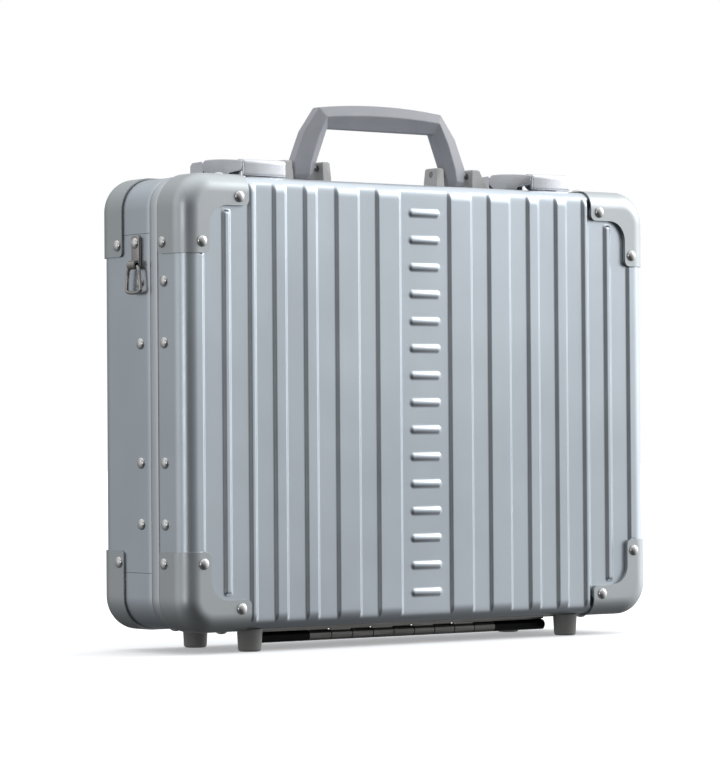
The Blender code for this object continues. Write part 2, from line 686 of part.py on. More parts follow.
def make_strap_ring(finish):
    """Riveted tab with a rolled eye, and the wire ring that hangs in it."""
    wall = WIDTH / 2
    y = FRONT + TAB_DEPTH
    eye_x = wall + RING_STAND
    eye_z = MIDDLE + RING_RISE
    notch = 2 * MM
    plate = [(y - TAB_HALF, eye_z), (y + TAB_HALF, eye_z), (y + TAB_HALF, eye_z + TAB_TALL - notch),
             (y + TAB_HALF - notch, eye_z + TAB_TALL), (y - TAB_HALF + notch, eye_z + TAB_TALL),
             (y - TAB_HALF, eye_z + TAB_TALL - notch)]
    outer_face = wall + GAP + TAB_THICK
    tab = solid("strap_tab_right", along_x(plate, wall + GAP, outer_face), finish["steel"])
    carve(tab, "UNION", along_y(circle(EYE_RADIUS, 14, eye_x, eye_z), y - TAB_HALF, y + TAB_HALF))
    carve(tab, "UNION", dome_at((outer_face, y, MIDDLE + TAB_RISE), (1, 0, 0)))
    carve(tab, "DIFFERENCE", along_y(circle(RING_WIRE + GAP, 12, eye_x, eye_z),
                                     y - 2 * TAB_HALF, y + 2 * TAB_HALF))
    flipped(tab, "strap_tab_left", "X", (0, 0, 0))
    shoulder = 4 * MM
    heel = 3 * MM
    half = [(RING_HALF_TOP - 1 * MM, 0), (RING_HALF_TOP, -shoulder),
            (RING_HALF_BOTTOM, heel - RING_TALL), (RING_HALF_BOTTOM - 2 * MM, -RING_TALL)]
    corners = half + [(-across, rise) for across, rise in reversed(half)]
    rings = []
    count = len(corners)
    for i in range(count):
        here = Vector(corners[i])
        ahead = (Vector(corners[(i + 1) % count]) - here).normalized()
        behind = (here - Vector(corners[i - 1])).normalized()
        normal = (ahead + behind).normalized().orthogonal()
        stretch = 1 / max(0.5, normal.dot(ahead.orthogonal()))
        ring = []
        for a in range(8):
            out = RING_WIRE * math.cos(2 * math.pi * a / 8)
            across = normal * RING_WIRE * math.sin(2 * math.pi * a / 8) * stretch
            ring.append((eye_x + out, y + here.x + across.x, eye_z + here.y + across.y))
        rings.append(ring)
    ring = solid("strap_ring_right", loft(rings, around=True), finish["steel"])
    other = flipped(ring, "strap_ring_left", "X", (0, 0, 0))
    pivot_at(ring, eye_x, y, eye_z)
    pivot_at(other, -eye_x, y, eye_z)


# ---------------------------------------------------------------- lid stays

def stay_elbow():
    """Place of the middle pivot when the lid is shut: where the two links' circles meet."""
    base = Vector(STAY_BASE)
    lid = Vector(STAY_LID)
    span = (lid - base).length
    along = (STAY_BASE_LINK ** 2 - STAY_LID_LINK ** 2 + span ** 2) / (2 * span)
    rise = math.sqrt(STAY_BASE_LINK ** 2 - along ** 2)
    unit = (lid - base) / span
    return base + along * unit - rise * Vector((-unit.y, unit.x))


def link(name, start, end, low, high, boss, finish):
    """Flat bar with round ends and a hole at its start; boss is the X of its rivet's end."""
    run = end - start
    heading = math.atan2(run.y, run.x)
    outline = []
    for centre, turn in ((end, -math.pi / 2), (start, math.pi / 2)):
        for step in range(7):
            angle = heading + turn + math.pi * step / 6
            outline.append((centre.x + STAY_HALF * math.cos(angle),
                            centre.y + STAY_HALF * math.sin(angle)))
    shift = [(PARTING + y, BOTTOM - HINGE_DROP + z) for y, z in outline]
    body = solid(name, along_x(shift, low, high), finish["frame"])
    place_y = PARTING + start.x
    place_z = BOTTOM - HINGE_DROP + start.y
    hole = circle(STAY_PIN + HALF_GAP, 12, place_y, place_z)
    carve(body, "DIFFERENCE", along_x(hole, low - 1 * MM, high + 1 * MM))
    stud = circle(STAY_PIN, 12, PARTING + end.x, BOTTOM - HINGE_DROP + end.y)
    carve(body, "UNION", along_x(stud, *sorted((boss, (low + high) / 2))))
    return body, place_y, place_z


def make_stays(finish):
    """A folding pair of links at each side, side by side so that they pass each other."""
    wall = WIDTH / 2 - LINING_INSET - LINING - GAP
    elbow = stay_elbow()
    pairs = (("base", Vector(STAY_BASE), wall - STAY_BASE_OFF, STUD_END),
             ("lid", Vector(STAY_LID), wall - STAY_LID_OFF, 3 * STUD_END))
    for half, start, high, reach in pairs:
        low = high - STAY_THICK
        boss = low - reach
        body, y, z = link(f"stay_{half}_right", start, elbow, low, high, boss, finish)
        other = flipped(body, f"stay_{half}_left", "X", (0, 0, 0))
        pivot_at(body, 0, y, z)
        pivot_at(other, 0, y, z)
        disc = along_x(circle(STAY_DISC, 16, y, z), wall - BRACKET_DISC, wall)
        mount = solid(f"stay_bracket_{half}_right", disc, finish["steel"])
        stud = along_x(circle(STAY_PIN, 12, y, z), low - STUD_END, wall - BRACKET_DISC / 2)
        carve(mount, "UNION", stud)
        flipped(mount, f"stay_bracket_{half}_left", "X", (0, 0, 0))


clear_scene()
FINISH = all_materials()
make_shells(FINISH)
make_frames(FINISH)
make_linings(FINISH)
make_caps(FINISH)
make_handle(FINISH)
make_brackets(FINISH)
make_latches(FINISH)
make_hinge(FINISH)
make_feet(FINISH)
make_strap_ring(FINISH)
make_stays(FINISH)
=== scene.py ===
import math
import bmesh
import bpy
import numpy as np
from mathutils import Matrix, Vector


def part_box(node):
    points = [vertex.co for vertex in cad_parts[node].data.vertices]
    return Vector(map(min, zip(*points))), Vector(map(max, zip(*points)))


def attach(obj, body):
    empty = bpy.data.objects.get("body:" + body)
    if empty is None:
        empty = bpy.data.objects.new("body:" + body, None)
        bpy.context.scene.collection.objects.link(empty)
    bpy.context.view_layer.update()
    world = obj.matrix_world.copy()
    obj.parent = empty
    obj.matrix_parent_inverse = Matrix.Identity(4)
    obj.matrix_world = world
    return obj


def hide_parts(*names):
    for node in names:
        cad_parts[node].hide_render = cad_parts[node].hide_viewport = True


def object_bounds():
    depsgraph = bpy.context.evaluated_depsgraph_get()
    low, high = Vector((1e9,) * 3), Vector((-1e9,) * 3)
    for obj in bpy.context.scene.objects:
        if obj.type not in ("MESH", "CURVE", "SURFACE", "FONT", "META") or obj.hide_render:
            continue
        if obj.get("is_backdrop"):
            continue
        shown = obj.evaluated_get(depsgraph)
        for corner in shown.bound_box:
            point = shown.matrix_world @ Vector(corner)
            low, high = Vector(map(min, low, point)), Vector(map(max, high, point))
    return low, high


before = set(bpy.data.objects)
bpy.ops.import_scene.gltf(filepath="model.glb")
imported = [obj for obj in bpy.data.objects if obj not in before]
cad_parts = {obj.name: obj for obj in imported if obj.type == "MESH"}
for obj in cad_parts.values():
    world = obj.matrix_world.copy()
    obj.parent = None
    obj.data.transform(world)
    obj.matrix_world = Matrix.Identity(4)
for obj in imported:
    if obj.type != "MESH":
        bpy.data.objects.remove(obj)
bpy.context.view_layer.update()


# ------------------------------------------------------------------ studio
# A pale floor with no edge in sight, in a tent of white cloth lit from above and from the right,
# with a narrow strip light at the left. The case stands where the CAD puts it.

def maths(nodes, links, operation, *values):
    """A Math node fed with sockets and plain numbers."""
    node = nodes.new("ShaderNodeMath")
    node.operation = operation
    for socket, value in zip(node.inputs, values):
        if isinstance(value, bpy.types.NodeSocket):
            links.new(value, socket)
        else:
            socket.default_value = value
    return node


def sky_lobe(nodes, links, direction, toward, strength, tightness, wrap):
    """Light from one side: strength * (wrapped cosine to a direction) ** tightness."""
    length = math.sqrt(sum(value * value for value in toward))
    dot = nodes.new("ShaderNodeVectorMath")
    dot.operation = "DOT_PRODUCT"
    links.new(direction, dot.inputs[0])
    dot.inputs[1].default_value = [value / length for value in toward]
    wrapped = nodes.new("ShaderNodeMapRange")
    wrapped.inputs["From Min"].default_value = -wrap
    wrapped.inputs["From Max"].default_value = 1.0
    links.new(dot.outputs["Value"], wrapped.inputs["Value"])
    shaped = maths(nodes, links, "POWER", wrapped.outputs["Result"], tightness)
    return maths(nodes, links, "MULTIPLY_ADD", shaped.outputs[0], strength, 0.0)


def studio_sky():
    """Lobes of light, added up and dimmed towards the floor; the camera sees plain white."""
    world = bpy.data.worlds.new("studio_sky")
    bpy.context.scene.world = world
    world.use_nodes = True
    nodes, links = world.node_tree.nodes, world.node_tree.links
    nodes.clear()
    direction = nodes.new("ShaderNodeTexCoord").outputs["Generated"]
    total = None
    for toward, strength, tightness, wrap in (((0.15, 0.0, 1.0), 1.45, 3.0, 1.0),
                                              ((1.0, -0.05, 0.10), 1.7, 3.5, 0.0),
                                              ((0.6, -0.8, 0.12), 0.17, 4.0, 0.0),
                                              ((0.35, -0.15, -0.92), 0.2, 3.0, 0.0),
                                              ((-0.95, 0.3, 0.15), 0.60, 9.0, 0.0),
                                              ((-0.90, -0.44, 0.05), 3.6, 80.0, 0.0),
                                              ((-0.55, 0.82, 0.2), 0.22, 2.0, 0.0),
                                              ((-0.6, 0.2, -0.75), 0.4, 2.0, 0.0)):
        lobe = sky_lobe(nodes, links, direction, toward, strength, tightness, wrap)
        if total is not None:
            links.new(total, lobe.inputs[2])
        total = lobe.outputs[0]
    height = nodes.new("ShaderNodeSeparateXYZ")
    links.new(direction, height.inputs[0])
    horizon = nodes.new("ShaderNodeMapRange")
    horizon.inputs["From Min"].default_value = -1.3
    horizon.inputs["From Max"].default_value = 0.05
    horizon.inputs["To Min"].default_value = 0.02
    links.new(height.outputs["Z"], horizon.inputs["Value"])
    masked = maths(nodes, links, "MULTIPLY", total, horizon.outputs["Result"])
    lighting = nodes.new("ShaderNodeBackground")
    lighting.inputs["Color"].default_value = (0.96, 0.98, 1.0, 1)
    links.new(masked.outputs[0], lighting.inputs["Strength"])
    plain = nodes.new("ShaderNodeBackground")
    plain.inputs["Color"].default_value = (1, 1, 1, 1)
    path = nodes.new("ShaderNodeLightPath")
    mixed = nodes.new("ShaderNodeMixShader")
    links.new(path.outputs["Is Camera Ray"], mixed.inputs[0])
    links.new(lighting.outputs[0], mixed.inputs[1])
    links.new(plain.outputs[0], mixed.inputs[2])
    links.new(mixed.outputs[0], nodes.new("ShaderNodeOutputWorld").inputs["Surface"])


def soft_box(name, place, target, width, height, power):
    """Rectangular lamp that faces a target."""
    lamp = bpy.data.lights.new(name, "AREA")
    lamp.shape = "RECTANGLE"
    lamp.size = width
    lamp.size_y = height
    lamp.energy = power
    holder = bpy.data.objects.new(name, lamp)
    bpy.context.scene.collection.objects.link(holder)
    holder.location = place
    aim = np.array(target) - np.array(place)
    holder.rotation_euler = (
        math.atan2(math.hypot(aim[0], aim[1]), -aim[2]), 0, math.atan2(-aim[0], aim[1]))


def pale_floor():
    """A wide sheet of white paper that no reflection shows."""
    reach = 14.0
    mesh = bpy.data.meshes.new("floor")
    mesh.from_pydata([(-reach, -reach, 0), (reach, -reach, 0), (reach, reach, 0),
                      (-reach, reach, 0)], [], [(0, 1, 2, 3)])
    floor = bpy.data.objects.new("floor", mesh)
    bpy.context.scene.collection.objects.link(floor)
    paper = bpy.data.materials.new("floor_paper")
    paper.use_nodes = True
    shader = paper.node_tree.nodes["Principled BSDF"]
    shader.inputs["Base Color"].default_value = (0.86, 0.865, 0.87, 1)
    shader.inputs["Roughness"].default_value = 0.9
    shader.inputs["Emission Color"].default_value = (1, 1, 1, 1)
    shader.inputs["Emission Strength"].default_value = 0.30
    mesh.materials.append(paper)
    floor.visible_glossy = False
    floor.visible_diffuse = False
    floor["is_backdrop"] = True


def camera_at(place, turn_degrees, focal):
    """The scene's camera."""
    lens = bpy.data.cameras.new("camera")
    lens.lens = focal
    lens.sensor_width = 36
    lens.clip_end = 100
    holder = bpy.data.objects.new("camera", lens)
    bpy.context.scene.collection.objects.link(holder)
    holder.location = place
    holder.rotation_euler = [math.radians(value) for value in turn_degrees]
    bpy.context.scene.camera = holder


studio_sky()
pale_floor()
soft_box("key", (2.3, -1.2, 1.5), (0.1, 0, 0.25), 1.8, 1.8, 26)
camera_at((-1.6881, -2.1683, 0.1557), (90.909, 0.412, -37.528), 166.06)
bpy.context.scene.view_settings.view_transform = "Standard"


# ------------------------------------------------------------------ pressed shells
# Two halves pressed from aluminium sheet: vertical channels are pressed in, and the ribs between
# them stay level with the border. A ladder of short bars stands up in the middle channel. The
# metal is bead blasted and anodised, so it is satin with a faint cool tint.

MM = 0.001
frame_low, frame_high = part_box("base_frame")
HALF_WIDTH = frame_high.x
HALF_HEIGHT = (frame_high.z - frame_low.z) / 2
MIDDLE = (frame_high.z + frame_low.z) / 2
TOP = frame_high.z
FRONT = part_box("lid_shell")[0].y
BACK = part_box("base_shell")[1].y
RIM_GAP = 0.15 * MM
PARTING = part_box("gasket")[1].y + RIM_GAP
BASE_RIM = PARTING + 10.25 * MM
CORNER = 24 * MM
BEND = 12 * MM
SHEET = 1.5 * MM
PRESS = 1.7 * MM
SLOPE = 3.0 * MM
PANEL_THICK = 2.8 * MM
CHANNELS = ((46, 63.5), (84.6, 103), (114, 131.7), (142.6, 160), (165, 183), (188.5, 206.8))
LADDER = 24
BAR_PITCH = 20.65 * MM
BARS = 15
BAR_HALF = 13.9
BAR_SLOPE = 2.8 * MM
BAR_RISE = 1.15 * MM
CAP_ARM = 58 * MM
CAP_WIDTH = 22.5 * MM
CAP_FILLET = 15.5 * MM
CAP_END = 4.5 * MM
CAP_SHORT = 4.5 * MM
CAP_MARGIN = 4.2 * MM
CLOSEST = 0.25 * MM


def eased(value):
    """Smooth step from 0 to 1, level at both ends."""
    value = np.clip(value, 0, 1)
    return value * value * (3 - 2 * value)


def to_round_box(x, z, centre_x, centre_z, half_x, half_z, radius):
    """Signed distance from a rectangle with round corners, negative inside."""
    over_x = np.abs(x - centre_x) - half_x + radius
    over_z = np.abs(z - centre_z) - half_z + radius
    outside = np.hypot(np.maximum(over_x, 0), np.maximum(over_z, 0))
    return outside + np.minimum(np.maximum(over_x, over_z), 0) - radius


def to_cap(x, z):
    """Signed distance from a corner cap's plan: two arms joined by a hollow fillet. The arms
    are taken a little short, so that the sheet is level again just past their ends."""
    x = np.abs(x)
    z = np.abs(z)
    arm = CAP_ARM - CAP_SHORT
    past_edge = 10 * MM
    long = arm / 2 + past_edge
    wide = CAP_WIDTH / 2 + past_edge
    flat = to_round_box(x, z, HALF_WIDTH - arm + long, HALF_HEIGHT - CAP_WIDTH + wide,
                        long, wide, CAP_END)
    upright = to_round_box(x, z, HALF_WIDTH - CAP_WIDTH + wide, HALF_HEIGHT - arm + long,
                           wide, long, CAP_END)
    in_flat = np.maximum(CAP_FILLET - flat, 0)
    in_upright = np.maximum(CAP_FILLET - upright, 0)
    return np.maximum(CAP_FILLET, np.minimum(flat, upright)) - np.hypot(in_flat, in_upright)


def press_depth(x, z):
    """How far the sheet is pressed in at a point of the panel, from the middle of the panel."""
    depth = np.zeros_like(x)
    for left, right in ((-LADDER, LADDER), *CHANNELS, *((-b, -a) for a, b in CHANNELS)):
        centre = (left + right) / 2 * MM
        edge = np.abs(x - centre) - (right - left) / 2 * MM
        depth = np.maximum(depth, eased(0.5 - edge / SLOPE))
    near_cap = to_cap(x, z) - CAP_MARGIN
    inset = np.minimum(HALF_WIDTH - np.abs(x), HALF_HEIGHT - np.abs(z))
    low = eased(0.5 - near_cap / SLOPE) * eased((inset - BEND) / (5 * MM))
    depth = PRESS * (1 - (1 - depth) * (1 - low))
    nearest = np.clip(np.round(z / BAR_PITCH), -(BARS // 2), BARS // 2) * BAR_PITCH
    bar = to_round_box(x, z, 0, nearest, BAR_HALF * MM, 2.1 * MM, 2.0 * MM)
    return depth - BAR_RISE * eased(0.5 - bar / BAR_SLOPE)


def lines_at(marks, limit):
    """Sorted grid lines at the marks and at both limits, none closer than CLOSEST."""
    every = np.sort(np.concatenate([marks, [-limit, limit]]))
    every = every[np.abs(every) <= limit]
    kept = [every[0]]
    for value in every[1:]:
        if value - kept[-1] > CLOSEST:
            kept.append(value)
    kept[-1] = limit
    return np.array(kept)


def panel_lines():
    """Grid lines of a panel, close together where the sheet bends."""
    half_x = HALF_WIDTH - BEND
    half_z = HALF_HEIGHT - BEND
    edges = [value for pair in CHANNELS for value in pair] + [LADDER]
    edges = np.array(edges + [-value for value in edges]) * MM
    slope = np.array([-2.0, -1.5, -1.1, -0.7, -0.3, 0.3, 0.7, 1.1, 1.5, 2.0]) * MM
    fine = np.arange(HALF_WIDTH - CAP_ARM - 8 * MM, half_x, 1.15 * MM)
    bar_ends = np.array([-1, 1])[:, None] * (BAR_HALF + np.linspace(-1.8, 1.8, 6))[None, :] * MM
    xs = lines_at(np.concatenate([(edges[:, None] + slope).ravel(), fine, -fine,
                                  bar_ends.ravel()]), half_x)
    bars = (np.arange(BARS) - BARS // 2) * BAR_PITCH
    across = np.array([-5, -4.1, -3.3, -2.6, -1.9, -1.2, 0, 1.2, 1.9, 2.6, 3.3, 4.1, 5]) * MM
    fine = np.arange(HALF_HEIGHT - CAP_ARM - 8 * MM, half_z, 1.0 * MM)
    zs = lines_at(np.concatenate([(bars[:, None] + across).ravel(), fine, -fine]), half_z)
    return xs, zs


def into_round_corner(x, z, half_x, half_z, radius):
    """Draw the corner squares of a rectangle in to quarter discs, ring by ring."""
    over_x = np.maximum(np.abs(x) - (half_x - radius), 0) / radius
    over_z = np.maximum(np.abs(z) - (half_z - radius), 0) / radius
    corner = (over_x > 1e-9) & (over_z > 1e-9)
    reach = np.maximum(over_x, over_z)
    low = np.minimum(over_x, over_z)
    turn = math.pi / 4 * low / np.maximum(reach, 1e-12)
    turn = np.where(over_x >= over_z, turn, math.pi / 2 - turn)
    new_x = np.sign(x) * (half_x - radius + radius * reach * np.cos(turn))
    new_z = np.sign(z) * (half_z - radius + radius * reach * np.sin(turn))
    return np.where(corner, new_x, x), np.where(corner, new_z, z)


def add_piece(name, parts, finish, body, stands_for=(), sharp=40):
    """One object from (points, faces) parts: faces turned outwards, smooth, riding on a body."""
    mesh = bpy.data.meshes.new(name)
    points, faces, start = [], [], 0
    for part_points, part_faces in parts:
        part_points = np.asarray(part_points, float).reshape(-1, 3)
        points.append(part_points)
        faces += [[index + start for index in face] for face in part_faces]
        start += len(part_points)
    mesh.from_pydata(np.concatenate(points).tolist(), [], faces)
    bm = bmesh.new()
    bm.from_mesh(mesh)
    bmesh.ops.remove_doubles(bm, verts=bm.verts, dist=1e-7)
    bmesh.ops.recalc_face_normals(bm, faces=bm.faces)
    bm.to_mesh(mesh)
    bm.free()
    mesh.materials.append(finish)
    mesh.shade_smooth()
    mesh.set_sharp_from_angle(angle=math.radians(sharp))
    piece = bpy.data.objects.new(name, mesh)
    bpy.context.scene.collection.objects.link(piece)
    if stands_for:
        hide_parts(*stands_for)
    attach(piece, body)
    return piece


def ring_faces(count, rows, start=0, loop=False):
    """Quads between rows of points that each close on themselves; loop joins last to first."""
    i, j = np.meshgrid(np.arange(rows if loop else rows - 1), np.arange(count), indexing="ij")
    ahead = (i + 1) % rows
    side = (j + 1) % count
    quads = np.stack([i * count + j, i * count + side, ahead * count + side, ahead * count + j],
                     axis=-1)
    return (quads.reshape(-1, 4) + start).tolist()


def tube_faces(count, rows):
    """Quads between rows of points, with the first and the last row filled."""
    last = (rows - 1) * count
    return ring_faces(count, rows) + [list(range(count)), list(range(last, last + count))]


def pressed_half(face_y, rim_y, wall_in):
    """A pressed half. The panel is a grid pressed in by press_depth; its edge runs on as rings
    round the bend, along the wall to the rim and back inside. A channel's floor runs straight
    on until the bend has dropped to it. wall_in(y) draws the wall in."""
    outward = 1 if face_y > rim_y else -1
    xs, zs = panel_lines()
    half_x, half_z = xs[-1], zs[-1]
    grid_x, grid_z = np.meshgrid(xs, zs, indexing="ij")
    radius = CORNER - BEND
    x, z = into_round_corner(grid_x, grid_z, half_x, half_z, radius)
    y = face_y - outward * press_depth(x, z)
    nx, nz = len(xs), len(zs)
    points = [np.stack([x, y, z + MIDDLE], axis=-1).reshape(-1, 3)]
    i, j = np.meshgrid(np.arange(nx - 1), np.arange(nz - 1), indexing="ij")
    corner = (i * nz + j).ravel()
    faces = np.stack([corner, corner + nz, corner + nz + 1, corner + 1], axis=-1).tolist()
    edge = [k * nz for k in range(nx)] + [(nx - 1) * nz + k for k in range(1, nz)]
    edge += [k * nz + nz - 1 for k in range(nx - 2, -1, -1)] + [k for k in range(nz - 2, 0, -1)]
    edge = np.array(edge)
    start_x, start_z, start_y = x.ravel()[edge], z.ravel()[edge], y.ravel()[edge]
    from_x = start_x - np.clip(start_x, -half_x + radius, half_x - radius)
    from_z = start_z - np.clip(start_z, -half_z + radius, half_z - radius)
    flat_x = np.abs(start_x) >= half_x - 1e-9
    from_z = np.where(flat_x & (np.abs(from_z) < 1e-9), 0, from_z)
    size = np.hypot(from_x, from_z)
    normal_x, normal_z = from_x / size, from_z / size
    sunk = np.abs(start_y - face_y)
    rows = []
    for turn in np.linspace(0, math.pi / 2, 16)[1:]:
        out = BEND * math.sin(turn)
        drop = BEND * (1 - math.cos(turn))
        level = sunk * max(0.0, 1 - drop / (1.3 * PRESS)) ** 1.3
        rows.append((out, face_y - outward * (drop + level)))
    wall_start = face_y - outward * BEND
    for share in np.linspace(0, 1, 26)[1:]:
        at = wall_start + (rim_y - wall_start) * share
        rows.append((BEND - wall_in(at), at))
    inner = BEND - SHEET
    rows.append((inner, rim_y))
    floor = face_y - outward * PANEL_THICK
    for turn in np.linspace(math.pi / 2, 0, 5):
        rows.append((inner * math.sin(turn), floor - outward * inner * (1 - math.cos(turn))))
    count = len(edge)
    for out, at in rows:
        level = np.broadcast_to(at, (count,))
        points.append(np.stack([start_x + normal_x * out, level,
                                start_z + normal_z * out + MIDDLE], axis=-1))
    first = nx * nz
    here = np.arange(count)
    ahead = (here + 1) % count
    faces += np.stack([edge[ahead], edge[here], first + here, first + ahead], axis=-1).tolist()
    faces += ring_faces(count, len(rows), first)
    faces.append((first + (len(rows) - 1) * count + here).tolist())
    return np.concatenate(points), faces


def new_finish(name, roughness, metallic):
    """A Principled material and the pieces of its node tree that the finishes below share."""
    made = bpy.data.materials.new(name)
    made.use_nodes = True
    nodes, links = made.node_tree.nodes, made.node_tree.links
    shader = nodes["Principled BSDF"]
    shader.inputs["Roughness"].default_value = roughness
    shader.inputs["Metallic"].default_value = metallic
    place = nodes.new("ShaderNodeTexCoord").outputs["Object"]
    return made, nodes, links, shader, place


def noise_at(nodes, links, place, scale, stretch=(1, 1, 1), detail=3.0):
    """Noise on a stretched copy of the object's own coordinates."""
    mapping = nodes.new("ShaderNodeMapping")
    mapping.inputs["Scale"].default_value = stretch
    links.new(place, mapping.inputs["Vector"])
    noise = nodes.new("ShaderNodeTexNoise")
    noise.inputs["Scale"].default_value = scale
    noise.inputs["Detail"].default_value = detail
    links.new(mapping.outputs[0], noise.inputs["Vector"])
    return noise.outputs["Fac"]


def spread(nodes, links, value, low, high):
    """Map the middle of a noise to a range."""
    ranged = nodes.new("ShaderNodeMapRange")
    ranged.inputs["From Min"].default_value = 0.3
    ranged.inputs["From Max"].default_value = 0.7
    ranged.inputs["To Min"].default_value = low
    ranged.inputs["To Max"].default_value = high
    links.new(value, ranged.inputs["Value"])
    return ranged.outputs["Result"]


def two_tones(nodes, links, value, dark, light):
    """Colour between two tones by a value."""
    mixed = nodes.new("ShaderNodeMix")
    mixed.data_type = "RGBA"
    links.new(value, mixed.inputs[0])
    mixed.inputs[6].default_value = (*dark, 1)
    mixed.inputs[7].default_value = (*light, 1)
    return mixed.outputs[2]


def toned(nodes, links, shader, noise, dark, light):
    """Base colour that a noise moves between two tones."""
    tone = spread(nodes, links, noise, 0.0, 1.0)
    links.new(two_tones(nodes, links, tone, dark, light), shader.inputs["Base Color"])


def glossed(nodes, links, shader, noise, low, high):
    """Roughness that a noise moves between two values."""
    links.new(spread(nodes, links, noise, low, high), shader.inputs["Roughness"])


def raised(nodes, links, shader, height, strength, distance):
    """Bump from a height."""
    bump = nodes.new("ShaderNodeBump")
    bump.inputs["Strength"].default_value = strength
    bump.inputs["Distance"].default_value = distance
    links.new(height, bump.inputs["Height"])
    links.new(bump.outputs[0], shader.inputs["Normal"])


def anodised(name, dark, light, roughness, blast=2600, wave=0.00035):
    """Bead-blasted anodised metal: a fine grain, cloudy gloss and slow waves left by the press."""
    made, nodes, links, shader, place = new_finish(name, roughness, 1.0)
    cloud = noise_at(nodes, links, place, 9, detail=4.0)
    toned(nodes, links, shader, cloud, dark, light)
    patch = noise_at(nodes, links, place, 34, detail=5.0)
    glossed(nodes, links, shader, patch, roughness - 0.03, roughness + 0.035)
    grain = noise_at(nodes, links, place, blast, detail=2.0)
    slow = noise_at(nodes, links, place, 14, detail=1.0)
    both = maths(nodes, links, "MULTIPLY_ADD", grain, 0.03, slow)
    raised(nodes, links, shader, both.outputs[0], 0.55, wave)
    return made


shell_metal = anodised("shell_metal", (0.475, 0.515, 0.555), (0.53, 0.575, 0.615), 0.34)


def lid_wall(y):
    """The lid's wall turns in slightly at its rim."""
    return 0.8 * MM * eased(1 - abs(PARTING - y) / (1.5 * MM)) ** 1.5


def base_wall(y):
    """The base's wall rolls in over its last few millimetres, where it meets the frame."""
    return 0.55 * MM * eased(1 - abs(y - BASE_RIM) / (3.2 * MM)) ** 2


for half, face_y, rim_y, wall_in in (("lid", FRONT, PARTING - RIM_GAP, lid_wall),
                                     ("base", BACK, BASE_RIM, base_wall)):
    add_piece(f"{half}_shell_pressed", [pressed_half(face_y, rim_y, wall_in)], shell_metal,
              half, [f"{half}_shell"])


# ------------------------------------------------------------------ frames and seal
# Extruded aluminium strips bent round the case: the base's strip shows between the halves and
# carries a tongue that enters the lid, where a soft seal meets it. They are brushed lengthwise,
# and a thin sealed joint crosses the base's side walls from each cap to the wall's rim.

def corner_turns(per_corner):
    """Signs and angles for a walk round four corners."""
    turn = np.concatenate([np.linspace(0, math.pi / 2, per_corner) + quarter * math.pi / 2
                           for quarter in range(4)])
    return (np.repeat([1, -1, -1, 1], per_corner), np.repeat([1, 1, -1, -1], per_corner),
            np.cos(turn), np.sin(turn))


def outline_rows(section):
    """Rings of points round the case's outline, one for each (inset, y)."""
    sign_x, sign_z, cosine, sine = corner_turns(16)
    rows = []
    for inset, y in section:
        x = sign_x * (HALF_WIDTH - CORNER) + (CORNER - inset) * cosine
        z = sign_z * (HALF_HEIGHT - CORNER) + (CORNER - inset) * sine
        rows.append(np.stack([x, np.full_like(x, y), z + MIDDLE], axis=-1))
    return np.array(rows)


def frame_ring(section):
    """A section of (inset, depth from the parting line) in mm, carried round the outline."""
    rows = outline_rows([(inset * MM, PARTING + depth * MM) for inset, depth in section])
    return rows, ring_faces(rows.shape[1], len(rows), loop=True)


def brushed(name, dark, light, roughness, stretch, scale=900):
    """Metal brushed along one direction: long fine scratches in tone, gloss and height."""
    made, nodes, links, shader, place = new_finish(name, roughness, 1.0)
    scratch = noise_at(nodes, links, place, scale, stretch, detail=4.0)
    toned(nodes, links, shader, scratch, dark, light)
    glossed(nodes, links, shader, scratch, roughness - 0.05, roughness + 0.06)
    raised(nodes, links, shader, scratch, 0.25, 0.00004)
    return made


frame_metal = brushed("frame_metal", (0.49, 0.515, 0.535), (0.57, 0.595, 0.615), 0.32,
                      (0.02, 1, 0.02))
base_section = [(0.9, 0.15), (0.3, 0.5), (0.0, 1.3), (0.0, 8.4), (0.1, 9.2), (0.5, 9.95),
                (1.8, 9.95), (1.8, 27), (3.3, 27), (3.3, 3), (7, 3), (7, -5.6), (6.7, -6),
                (5.8, -6), (5.5, -5.6), (5.5, 0.15)]
add_piece("base_frame_strip", [frame_ring(base_section)], frame_metal, "base",
          ["base_frame"], 30)
add_piece("lid_frame_strip", [frame_ring([(1.8, -2.4), (1.8, -16), (3.3, -16), (3.3, -2.4)])],
          frame_metal, "lid", ["lid_frame"], 30)


def plain_soft(name, dark, light, roughness, scale, bump):
    """Rubber or plastic: two close tones, an uneven gloss and a fine moulded grain."""
    made, nodes, links, shader, place = new_finish(name, roughness, 0.0)
    cloud = noise_at(nodes, links, place, scale * 0.04, detail=4.0)
    toned(nodes, links, shader, cloud, dark, light)
    glossed(nodes, links, shader, cloud, roughness - 0.05, roughness + 0.06)
    grain = noise_at(nodes, links, place, scale, detail=2.0)
    raised(nodes, links, shader, grain, 0.4, bump)
    return made


seal_rubber = plain_soft("seal_rubber", (0.022, 0.022, 0.023), (0.035, 0.035, 0.036), 0.6, 1500,
                         0.0001)
JOINT_RISE = 125 * MM
JOINT_OUT = 0.12 * MM
JOINT_IN = 0.3 * MM
JOINT_HALF = 0.22 * MM


def wall_joint(sign, high):
    """Thin sealed joint across the base's side wall, from the cap's flange to the wall's rim."""
    x = sign * HALF_WIDTH
    z = MIDDLE + high * JOINT_RISE
    near, far = PARTING + 11 * MM, BACK - 31.5 * MM
    inside, outside = x - sign * JOINT_IN, x + sign * JOINT_OUT
    points = [(inside, near, z - JOINT_HALF), (outside, near, z - JOINT_HALF * 0.6),
              (outside, near, z + JOINT_HALF * 0.6), (inside, near, z + JOINT_HALF)]
    points += [(a, far, c) for a, _, c in points]
    return points, tube_faces(4, 2)


